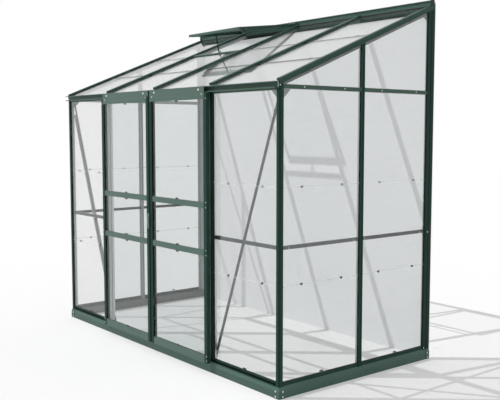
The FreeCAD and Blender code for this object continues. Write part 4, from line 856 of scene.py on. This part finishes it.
def strips(name, lines, section, material, body):
    """Strips of one section along lines, riding on their body."""
    group = tree_by_name("Strip_" + material.name, strip_tree, material)
    values = dict(zip(("Width", "Height", "Corner"), section))
    piece = finished(line_mesh(name + "_lines", lines), name, group, values, body)
    outward_faces(piece.data)


def grown(name, seats, along, group, values, body):
    """Fixings of one kind on their seats, riding on their body."""
    points = point_mesh(name + "_points", seats, along)
    return finished(points, name, group, values, body)


def zinc_finish(tones):
    """Finish of the screws and nuts, with the rubber tone as painted shade in their recesses."""
    return stored("zinc_fixing", lambda title: fixing_material(title, tones.zinc, tones.rubber))


def screws(context, name, seats, body, along=RIGHTWARD, scale=1.0):
    """Screw heads on their seats."""
    sizes = context.scene.greenhouse_sizes
    group = tree_by_name("Screw", screw_tree, zinc_finish(context.scene.greenhouse_colours))
    values = {"Head Width": sizes.screw_head * scale, "Head Rise": sizes.screw_rise * scale}
    return grown(name, seats, along, group, values, body)


def nuts(context, name, seats, body):
    """Nuts with their bolt ends on their seats."""
    sizes = context.scene.greenhouse_sizes
    group = tree_by_name("Nut", nut_tree, zinc_finish(context.scene.greenhouse_colours))
    values = {"Nut Width": sizes.nut_width, "Nut Height": sizes.nut_height, "Bolt End": sizes.bolt_end}
    grown(name, seats, RIGHTWARD, group, values, body)


def clips(context, name, seats, body, along=RIGHTWARD):
    """Glazing clips on their seats."""
    sizes = context.scene.greenhouse_sizes
    tones = context.scene.greenhouse_colours
    material = stored("clip_steel", lambda title: bare_material(title, tones.clip, ALONG_X, 0.4, 0.5))
    group = tree_by_name("Clip", clip_tree, material)
    values = {
        "Clip Length": sizes.clip_length,
        "Clip Width": sizes.clip_width,
        "Clip Sheet": sizes.clip_sheet,
        "Clip Bow": sizes.clip_bow,
    }
    grown(name, seats, along, group, values, body)


def stored_roof_paint(tones):
    """Paint of the pieces that climb the roof."""
    return stored(
        "roof_bar_paint", lambda title: paint_material(title, tones.roof_paint, UP_ROOF, ROOF_COAT)
    )


# Operators: finishes

class PaintBase(bpy.types.Operator):
    """Paint the folded steel base and its corner plates"""

    bl_idname = "greenhouse.paint_base"
    bl_label = "Paint the base"

    def execute(self, context):
        tones = context.scene.greenhouse_colours
        # The front of the base takes painted shade under its crease and painted light at the doors.
        base = two_tone_material(
            "base_finish", tones.base_paint, tones.galvanised, ROLLED, BASE_COAT, base_mask, base_light_and_shade
        )
        dress(base, "base_front_rail", "base_gable_rails", "base_corner_connectors", "base_wall_brackets")
        return {"FINISHED"}


class PaintUprights(bpy.types.Operator):
    """Paint the posts outside the panes and leave them bare inside"""

    bl_idname = "greenhouse.paint_uprights"
    bl_label = "Paint the posts"

    def execute(self, context):
        tones = context.scene.greenhouse_colours
        metal, seal = tones.bare_metal, tones.plastic
        # Painted shade: the wall posts take the post paint at 0.7.
        painted_shade = [part * 0.7 for part in tones.post_paint]
        posts = two_tone_material("post_finish", tones.post_paint, metal, UPRIGHT, POST_COAT, seal=seal)
        # The door posts take painted shade on the right one, and the lit post metal as painted light on
        # their bare band.
        doorway = two_tone_material(
            "door_post_finish", tones.post_paint, tones.lit_post_metal, UPRIGHT, POST_COAT, flank_mask,
            door_post_painted_shade, seal, metallic=0.6,
        )
        rear = two_tone_material("wall_post_finish", painted_shade, metal, UPRIGHT, POST_COAT, seal=seal)
        dress(posts, "corner_posts", "gable_middle_post_left", "gable_middle_post_right")
        dress(rear, "wall_posts")
        dress(doorway, "door_posts")
        return {"FINISHED"}


class PaintLevelBars(bpy.types.Operator):
    """Paint the sills, the eave beam and the level gable bars"""

    bl_idname = "greenhouse.paint_level_bars"
    bl_label = "Paint the level bars"

    def execute(self, context):
        tones = context.scene.greenhouse_colours
        paint, metal = tones.rail_paint, tones.bare_metal
        # Painted shade: the gable eave bars take the rail paint at 0.8.
        painted_shade = [part * 0.8 for part in paint]
        front = two_tone_material("front_bar_finish", paint, metal, ALONG_X, RAIL_COAT)
        gables = two_tone_material("gable_bar_finish", painted_shade, metal, ALONG_Y, RAIL_COAT)
        low = two_tone_material(
            "sill_finish", tones.post_paint, tones.dull_metal, ALONG_X, POST_COAT, seal=tones.plastic
        )
        dress(front, "eave_track_beam")
        dress(gables, "gable_eave_bars")
        dress(low, "front_sill", "gable_sills")
        return {"FINISHED"}


class PaintRoofBars(bpy.types.Operator):
    """Paint the rafters, the roof bars, the ridge and the vent frame"""

    bl_idname = "greenhouse.paint_roof_bars"
    bl_label = "Paint the roof bars"

    def execute(self, context):
        tones = context.scene.greenhouse_colours
        paint = tones.roof_paint
        rafters = two_tone_material("rafter_finish", paint, tones.rafter_metal, UP_ROOF, ROOF_COAT)
        bars = two_tone_material("roof_bar_finish", paint, tones.bare_metal, UP_ROOF, ROOF_COAT)
        # The ridge takes painted shade along its top and below the panes, and painted light on its face.
        ridge = paint_material("ridge_paint", tones.ridge_paint, ALONG_X, RAIL_COAT, ridge_light_and_shade)
        level = paint_material("vent_paint", tones.ridge_paint, ALONG_X, RAIL_COAT)
        dress(rafters, "gable_rafter_left", "gable_rafter_right")
        dress(bars, "roof_glazing_bars")
        dress(stored_roof_paint(tones), "vent_side_rails")
        dress(ridge, "ridge_bar")
        dress(level, "vent_cross_rail", "vent_front_rail", "vent_hinge_rail")
        return {"FINISHED"}


class PaintDoors(bpy.types.Operator):
    """Paint the stiles, headers and rails of the two sliding leaves"""

    bl_idname = "greenhouse.paint_doors"
    bl_label = "Paint the doors"

    def execute(self, context):
        tones = context.scene.greenhouse_colours
        # The stiles take painted shade on their sides at the panes and where the leaves meet.
        stiles = paint_material("stile_paint", tones.door_paint, UPRIGHT, POST_COAT, stile_painted_shade)
        rails = paint_material("door_rail_paint", tones.door_rail_paint, ALONG_X, DOOR_RAIL_COAT)
        for side, _ in SIDES:
            dress(stiles, side + "_door_stiles")
            dress(rails, side + "_door_header", side + "_door_rails")
        dress(stiles, "left_door_cover_strip")
        return {"FINISHED"}


class FinishBareMetal(bpy.types.Operator):
    """Bare metal for the middle bars, gussets, braces and seam clips, and the roof paint darkened as painted
    shade for the vent stay
    """

    bl_idname = "greenhouse.finish_bare_metal"
    bl_label = "Finish the bare metal"

    def execute(self, context):
        tones = context.scene.greenhouse_colours
        metal = tones.dull_metal
        dress(bare_material("bare_level", metal, ALONG_X), "front_middle_bars")
        # The gable middle bars take painted shade in the bay by the wall.
        dress(bare_material("bare_across", metal, ALONG_Y, bands=wall_bay_painted_shade), "gable_middle_bars")
        dress(rolled_material("rolled_plate", tones.plate_metal), "gusset_plates", "front_braces")
        dress(rolled_material("clip_plate", tones.plate_metal, 0.4, tones.clip), "seam_clips")
        # Painted shade: the vent stay takes the roof paint at 0.5.
        painted_shade = [part * 0.5 for part in tones.roof_paint]
        stay = paint_material("stay_paint", painted_shade, UPRIGHT, STAY_COAT)
        dress(stay, "vent_stay_bar", "vent_stay_bracket", "stay_peg_bracket")
        return {"FINISHED"}


class FinishMouldings(bpy.types.Operator):
    """Plastic, nylon and rubber fittings, and the roller axles"""

    bl_idname = "greenhouse.finish_mouldings"
    bl_label = "Finish the mouldings"

    def execute(self, context):
        tones = context.scene.greenhouse_colours
        nylon = moulded_material("nylon", tones.nylon, rough=0.4, sheen=0.4)
        rubber = moulded_material("black_rubber", tones.rubber, rough=0.7, sheen=0.2)
        plastic = moulded_material("black_plastic", tones.plastic, rough=0.5, sheen=0.35)
        axle = bare_material("axle_steel", tones.zinc, ROLLED, rough=0.32, metallic=0.7)
        for side, _ in SIDES:
            door = side + "_door_"
            dress(nylon, door + "roller_inner", door + "roller_outer", door + "guide_shoes")
            dress(axle, door + "roller_axles")
        dress(rubber, "right_door_seal")
        dress(plastic, "right_door_catch", "ridge_end_caps")
        return {"FINISHED"}


class GlazePanes(bpy.types.Operator):
    """Clear glazing for the walls, the roof, the doors and the vent"""

    bl_idname = "greenhouse.glaze_panes"
    bl_label = "Glaze the panes"

    def execute(self, context):
        tones = context.scene.greenhouse_colours
        glass, haze = tones.glass, tones.haze
        wall = glass_material(
            "wall_glass", glass, haze, haze, PANE_SEAMS, half_width=0.0022, cover=0.3
        )
        roof = glass_material(
            "roof_glass", glass, haze, tones.joint, ROOF_SEAMS, half_width=0.008, cover=0.9, up_roof=True
        )
        door = glass_material("door_glass", tones.door_glass, haze)
        for side, _ in SIDES:
            dress(wall, "front_panes_" + side, "gable_panes_" + side)
            dress(door, side + "_door_panes")
        dress(roof, *["roof_panes_bay_%d" % bay for bay in range(1, 5)])
        dress(roof, "vent_pane")
        return {"FINISHED"}


# Operators: fixings

class AddBaseScrews(bpy.types.Operator):
    """Pan-head screws through the base corner plates"""

    bl_idname = "greenhouse.add_base_screws"
    bl_label = "Add the base screws"

    def execute(self, context):
        plates = ["base_corner_connectors", "base_wall_brackets"]
        corner_x, gable_places, heights = 1.1930, (-0.5635, 0.6385), (0.010, 0.039)
        beside_hole = (0.0, 0.0, 0.003)
        starts = [(x, AHEAD_Y, z) for x in (-corner_x, corner_x) for z in heights]
        seats = seated(plates, starts, BACKWARD, beside_hole)
        for way in (-1, 1):
            starts = [(way * ASIDE_X, y, z) for y in gable_places for z in heights]
            seats += seated(plates, starts, (-way, 0, 0), beside_hole)
        piece = screws(context, "base_screw_heads", seats, "frame", UPWARD, 1.4)
        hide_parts("base_screws")
        return {"FINISHED"}


class AddFrameScrews(bpy.types.Operator):
    """Screws along the gables and at the ridge"""

    bl_idname = "greenhouse.add_frame_screws"
    bl_label = "Add the frame screws"

    def execute(self, context):
        gable_rows = (
            ("gable_eave_bars", [(y, 1.658) for y in (-0.414, -0.112, 0.190, 0.494)]),
            ("gable_middle_bars", [(y, 0.805) for y in (-0.506, -0.0105, 0.0765, 0.568)]),
            ("wall_posts", [(0.6055, 0.074), (0.621, 0.804)]),
            ("corner_posts", [(-0.5825, 1.664)]),
        )
        inside_y = 0.6
        ridge_places = ((-0.621, 2.189), (-0.621, 2.155), (-0.019, 2.190))
        seats = []
        for way in (-1, 1):
            for bar, places in gable_rows:
                seats += seated([bar], [(way * ASIDE_X, y, z) for y, z in places], (-way, 0, 0))
        seats += seated(["ridge_bar"], [(x, inside_y, z) for x, z in ridge_places], BACKWARD)
        screws(context, "gable_screws", seats, "frame", UPWARD, 1.1)
        return {"FINISHED"}


class AddDoorScrews(bpy.types.Operator):
    """Screws in the outer stiles and the headers of both leaves"""

    bl_idname = "greenhouse.add_door_screws"
    bl_label = "Add the door screws"

    def execute(self, context):
        stile_x, heights = 0.6155, (1.6125, 1.014, 0.985, 0.735, 0.705, 0.106, 0.079)
        header_places = ((0.038, 1.638), (0.576, 1.637))
        for side, way in SIDES:
            body = side + "_door"
            parts = [body + "_stiles", body + "_header", body + "_rails"]
            seats = seated(parts, [(way * stile_x, AHEAD_Y, z) for z in heights], BACKWARD)
            screws(context, side + "_stile_screws", seats, body, scale=0.85)
            seats = seated(parts, [(way * x, AHEAD_Y, z) for x, z in header_places], BACKWARD)
            screws(context, side + "_header_screws", seats, body, scale=1.25)
        return {"FINISHED"}


class AddVentScrews(bpy.types.Operator):
    """Screws at the corners of the vent frame"""

    bl_idname = "greenhouse.add_vent_screws"
    bl_label = "Add the vent screws"

    def execute(self, context):
        rail_places, corner_places = (-0.592, -0.018), (0.128, 0.578)
        starts = [(x, y, ABOVE_Z) for x in rail_places for y in corner_places]
        seats = seated(["vent_side_rails"], starts, DOWNWARD)
        screws(context, "vent_screws", seats, "vent", scale=1.1)
        return {"FINISHED"}


class AddNuts(bpy.types.Operator):
    """Nuts and bolt ends at both ends of the braces"""

    bl_idname = "greenhouse.add_nuts"
    bl_label = "Add the nuts"

    def execute(self, context):
        inside_y, brace_ends = 0.0, ((0.604, 0.088), (1.182, 1.632))
        starts = [(way * x, inside_y, z) for way in (1, -1) for x, z in brace_ends]
        nuts(context, "brace_nuts", seated(["front_braces"], starts, FORWARD), "frame")
        return {"FINISHED"}


class AddGlazingClips(bpy.types.Operator):
    """Sprung clips that hold the panes against their bars"""

    bl_idname = "greenhouse.add_glazing_clips"
    bl_label = "Add the glazing clips"

    def execute(self, context):
        door_x, heights = 0.306, (1.604, 1.019, 0.975, 0.739, 0.695, 0.112)
        bay_x, gable_places, low = 0.915, (-0.2725, 0.3375), 0.097
        front, gables = [], []
        for side, way in SIDES:
            starts = [(way * door_x, AHEAD_Y, z) for z in heights]
            seats = seated([side + "_door_panes"], starts, BACKWARD)
            clips(context, side + "_door_clips", seats, side + "_door")
            front += seated(["front_panes_" + side], [(way * bay_x, AHEAD_Y, low)], BACKWARD)
            starts = [(way * ASIDE_X, y, low) for y in gable_places]
            gables += seated(["gable_panes_" + side], starts, (-way, 0, 0))
        clips(context, "front_clips", front, "frame")
        clips(context, "gable_clips", gables, "frame", BACKWARD)
        return {"FINISHED"}


class AddRoofCappings(bpy.types.Operator):
    """Cappings over the roof bars and the rafters, and beside the vent"""

    bl_idname = "greenhouse.add_roof_cappings"
    bl_label = "Add the roof cappings"

    def execute(self, context):
        paint = stored_roof_paint(context.scene.greenhouse_colours)
        sizes = context.scene.greenhouse_sizes
        sunk, corner, overlap = 0.0060, 0.0015, 0.006
        vent_edges = (0.0055, -0.6165)
        rafter_x, rafter_width, rafter_depth, rafter_lift = 1.2045, 0.0310, 0.0090, -0.0015
        tall = sizes.capping_rise + sunk
        lift = (sizes.capping_rise - sunk) / 2
        eave, below_vent, below_ridge = ROOF_FRONT.y + 0.002, VENT_FRONT_Y - 0.014, ROOF_BACK_Y - 0.014
        bar_ends = ((BAY, ROOF_BACK_Y), (-BAY, below_vent), (0.0, below_vent))
        lines = [up_roof_line(x, eave, end, lift) for x, end in bar_ends]
        section = (sizes.capping_width, tall, corner)
        strips("roof_cappings", lines, section, paint, "frame")
        lines = [up_roof_line(x, below_vent, ROOF_BACK_Y, lift) for x in vent_edges]
        section = (sizes.capping_width / 2 + overlap, tall, corner)
        strips("vent_cappings", lines, section, paint, "frame")
        lines = [up_roof_line(x, eave, below_ridge, rafter_lift) for x in (-rafter_x, rafter_x)]
        section = (rafter_width, rafter_depth, corner)
        strips("rafter_cappings", lines, section, paint, "frame")
        return {"FINISHED"}


class AddSealsAndSleeves(bpy.types.Operator):
    """Bead along the ridge and sleeves on the ends of the middle bars"""

    bl_idname = "greenhouse.add_seals_and_sleeves"
    bl_label = "Add the seals and sleeves"

    def execute(self, context):
        rubber = bpy.data.materials["black_rubber"]
        bead_y, bead_z = ROOF_BACK_Y - 0.0010, 2.1782
        spans = ((-1.186, -0.630), (0.021, 0.590), (0.630, 1.186))
        lines = [[(x, bead_y, bead_z) for x in span] for span in spans]
        section = (0.0050, 0.0070, 0.0012)
        strips("ridge_bead", lines, section, rubber, "frame")
        sleeve, sleeve_y, sleeve_z = (0.629, 0.674), -0.5645, 0.809
        lines = [[(way * x, sleeve_y, sleeve_z) for x in sleeve] for way in (-1, 1)]
        section = (0.0165, 0.0225, 0.0010)
        strips("middle_bar_sleeves", lines, section, rubber, "frame")
        return {"FINISHED"}


class AddBraceFlanges(bpy.types.Operator):
    """Flanges along the outer edges of the diagonal braces, notched at the middle bars"""

    bl_idname = "greenhouse.add_brace_flanges"
    bl_label = "Add the brace flanges"

    def execute(self, context):
        (_, front, low), (right, _, high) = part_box("front_braces")
        (_, _, bar_low), (_, _, bar_high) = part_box("front_middle_bars")
        foot_x, half_width, inset, notch = 0.604, 0.010, 0.0013, 0.004
        flange_y, start_z, end_z = front - 0.0085, 0.140, high - 0.095
        foot = Vector((foot_x, low + half_width))
        along = (Vector((right - half_width, high - half_width)) - foot).normalized()
        edge = foot + Vector((along.y, -along.x)) * (half_width - inset)
        spans = ((start_z, bar_low - notch), (bar_high + notch, end_z))
        lines = []
        for way in (-1, 1):
            for span in spans:
                ends = [edge + along * ((z - edge.y) / along.y) for z in span]
                lines.append([(way * x, flange_y, z) for x, z in ends])
        tones = context.scene.greenhouse_colours
        # The flanges take painted shade on their undersides, darkest near the floor.
        metal = rolled_material("brace_flange", tones.bare_metal, bands=underside_painted_shade)
        section = (0.0180, 0.0018, 0.0006)
        strips("brace_flanges", lines, section, metal, "frame")
        return {"FINISHED"}


class AddHandle(bpy.types.Operator):
    """Slim pull handle with tapered ends on the left leaf"""

    bl_idname = "greenhouse.add_handle"
    bl_label = "Add the handle"

    def execute(self, context):
        (_, _, low), (_, _, high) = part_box("left_door_handle")
        (_, back, _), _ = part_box("left_door_cover_strip")
        middle_x, half_width = -0.0105, 0.0105
        ends = ((0.0, 0.80, 0.0015), (0.003, 0.97, 0.0040), (0.010, 1.0, 0.0065), (0.030, 0.96, 0.0072))
        stations = ends + tuple((high - low - run, width, depth) for run, width, depth in reversed(ends))
        outline = ((1.0, 0.0), (1.0, 0.7), (0.8, 1.0), (0.3, 0.93))
        outline = [(-x, y) for x, y in outline] + list(reversed(outline))
        work = bmesh.new()
        rings = []
        for run, width, depth in stations:
            half = width * half_width
            places = [(middle_x + half * x, back - depth * y, low + run) for x, y in outline]
            rings.append([work.verts.new(place) for place in places])
        for first, second in zip(rings, rings[1:]):
            for index in range(len(first)):
                after = (index + 1) % len(first)
                work.faces.new((first[index], first[after], second[after], second[index]))
        work.faces.new(rings[0])
        work.faces.new(rings[-1])
        bmesh.ops.recalc_face_normals(work, faces=work.faces)
        mesh = bpy.data.meshes.new("pull_handle")
        work.to_mesh(mesh)
        work.free()
        tones = context.scene.greenhouse_colours
        mesh.materials.append(moulded_material("handle_plastic", tones.handle, rough=0.4, sheen=0.45))
        piece = linked("pull_handle", mesh)
        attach(piece, "left_door")
        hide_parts("left_door_handle")
        return {"FINISHED"}


# Operator: studio

def plane(name, corners, material):
    """Flat face that belongs to the studio."""
    mesh = bpy.data.meshes.new(name)
    mesh.from_pydata(corners, [], [tuple(range(len(corners)))])
    mesh.materials.append(material)
    linked(name, mesh)


def seen_directly(tree):
    """One for rays from the camera, a mirror or a pane, and nought for light."""
    path = tree.add("ShaderNodeLightPath").outputs
    return tree.highest(*[path["Is %s Ray" % kind] for kind in ("Camera", "Glossy", "Transmission")])


def matt_shader(tree, tint, lift):
    """Pale matt surface with a glow that only the camera, mirrors and panes see, so it keeps its shadows."""
    matt = tree.coat({"Base Color": opaque(tint), "Roughness": 0.9, "Specular IOR Level": 0.0})
    strength = tree.times(seen_directly(tree), lift)
    glow = tree.add("ShaderNodeEmission", {"Strength": strength}).outputs[0]
    total = tree.add("ShaderNodeAddShader")
    tree.feed(total.inputs[0], matt)
    tree.feed(total.inputs[1], glow)
    return total.outputs[0]


def floor_material(tint, lift):
    """Pale matt floor that reads as white where it is lit."""
    material, tree = new_material("studio_floor")
    tree.end(matt_shader(tree, tint, lift))
    return material


def wall_material(tint, lift):
    """Pale rendered wall, seen and lit from its front only."""
    material, tree = new_material("studio_wall")
    clear = tree.add("ShaderNodeBsdfTransparent").outputs[0]
    behind = tree.add("ShaderNodeNewGeometry").outputs["Backfacing"]
    tree.end(tree.layered(behind, matt_shader(tree, tint, lift), clear))
    return material


def studio_world(sky):
    """White to the camera, and an even soft light for everything else."""
    world = bpy.data.worlds.new("studio")
    world.use_nodes = True
    tree = Tree(world.node_tree)
    tree.tree.nodes.clear()
    strength = tree.blend(seen_directly(tree), sky, 1.0)
    light = tree.add("ShaderNodeBackground", {"Color": (1.0, 1.0, 1.0, 1.0), "Strength": strength})
    tree.end(light.outputs[0], "ShaderNodeOutputWorld")
    bpy.context.scene.world = world


def key_light(strength, softness):
    """Soft distant lamp from the front, the left and above."""
    lamp = bpy.data.lights.new("key_light", "SUN")
    lamp.energy = strength
    lamp.angle = softness
    item = linked("key_light", lamp)
    direction = Vector((0.405, 0.476, -0.781))
    item.rotation_mode = "QUATERNION"
    item.rotation_quaternion = direction.to_track_quat("-Z", "Y")
    item.location = (-3.0, -4.0, 5.0)


def camera():
    """Camera at the viewing angle."""
    data = bpy.data.cameras.new("camera")
    data.sensor_width = 36.0
    data.lens = 57.21
    item = linked("camera", data)
    item.location = (4.33963, -3.28651, 1.42771)
    item.rotation_euler = (math.pi / 2 - 0.0870, 0.0, 0.89541)
    bpy.context.scene.camera = item


class SetStudio(bpy.types.Operator):
    """Floor, house wall, soft light and camera"""

    bl_idname = "greenhouse.set_studio"
    bl_label = "Set the studio"

    def execute(self, context):
        studio = context.scene.greenhouse_studio
        context.scene.view_settings.view_transform = "Standard"
        camera()
        far = 20.0
        ground = -0.0002
        corners = [(-far, -far, ground), (far, -far, ground), (far, far, ground), (-far, far, ground)]
        plane("studio_floor", corners, floor_material(studio.floor, studio.floor_lift))
        wall_gap, under_ridge = 0.004, 0.012
        side = LENGTH_END - wall_gap
        back = WALL_Y + wall_gap
        top = RIDGE_TOP - under_ridge
        corners = [(-side, back, ground), (side, back, ground), (side, back, top), (-side, back, top)]
        plane("studio_wall", corners, wall_material(studio.wall, studio.wall_lift))
        studio_world(studio.sky)
        key_light(studio.sun, studio.softness)
        return {"FINISHED"}


OPERATORS = (
    SetStudio,
    PaintBase,
    PaintUprights,
    PaintLevelBars,
    PaintRoofBars,
    PaintDoors,
    FinishBareMetal,
    FinishMouldings,
    GlazePanes,
    AddBaseScrews,
    AddFrameScrews,
    AddDoorScrews,
    AddVentScrews,
    AddNuts,
    AddGlazingClips,
    AddRoofCappings,
    AddSealsAndSleeves,
    AddBraceFlanges,
    AddHandle,
)


class GreenhousePanel(bpy.types.Panel):
    """Steps that finish the greenhouse"""

    bl_idname = "VIEW3D_PT_greenhouse"
    bl_label = "Greenhouse"
    bl_space_type = "VIEW_3D"
    bl_region_type = "UI"
    bl_category = "Greenhouse"

    def draw(self, context):
        for operator in OPERATORS:
            self.layout.operator(operator.bl_idname)
        scene = context.scene
        for group in (scene.greenhouse_colours, scene.greenhouse_sizes, scene.greenhouse_studio):
            for name in group.bl_rna.properties.keys():
                if name not in ("rna_type", "name"):
                    self.layout.prop(group, name)


CLASSES = (GreenhouseColours, GreenhouseSizes, GreenhouseStudio) + OPERATORS + (GreenhousePanel,)


def register():
    for item in CLASSES:
        bpy.utils.register_class(item)
    bpy.types.Scene.greenhouse_colours = bpy.props.PointerProperty(type=GreenhouseColours)
    bpy.types.Scene.greenhouse_sizes = bpy.props.PointerProperty(type=GreenhouseSizes)
    bpy.types.Scene.greenhouse_studio = bpy.props.PointerProperty(type=GreenhouseStudio)


def unregister():
    del bpy.types.Scene.greenhouse_studio
    del bpy.types.Scene.greenhouse_sizes
    del bpy.types.Scene.greenhouse_colours
    for item in reversed(CLASSES):
        bpy.utils.unregister_class(item)


def main():
    register()
    for operator in OPERATORS:
        getattr(bpy.ops.greenhouse, operator.bl_idname.split(".")[1])()


if __name__ == "__main__":
    main()
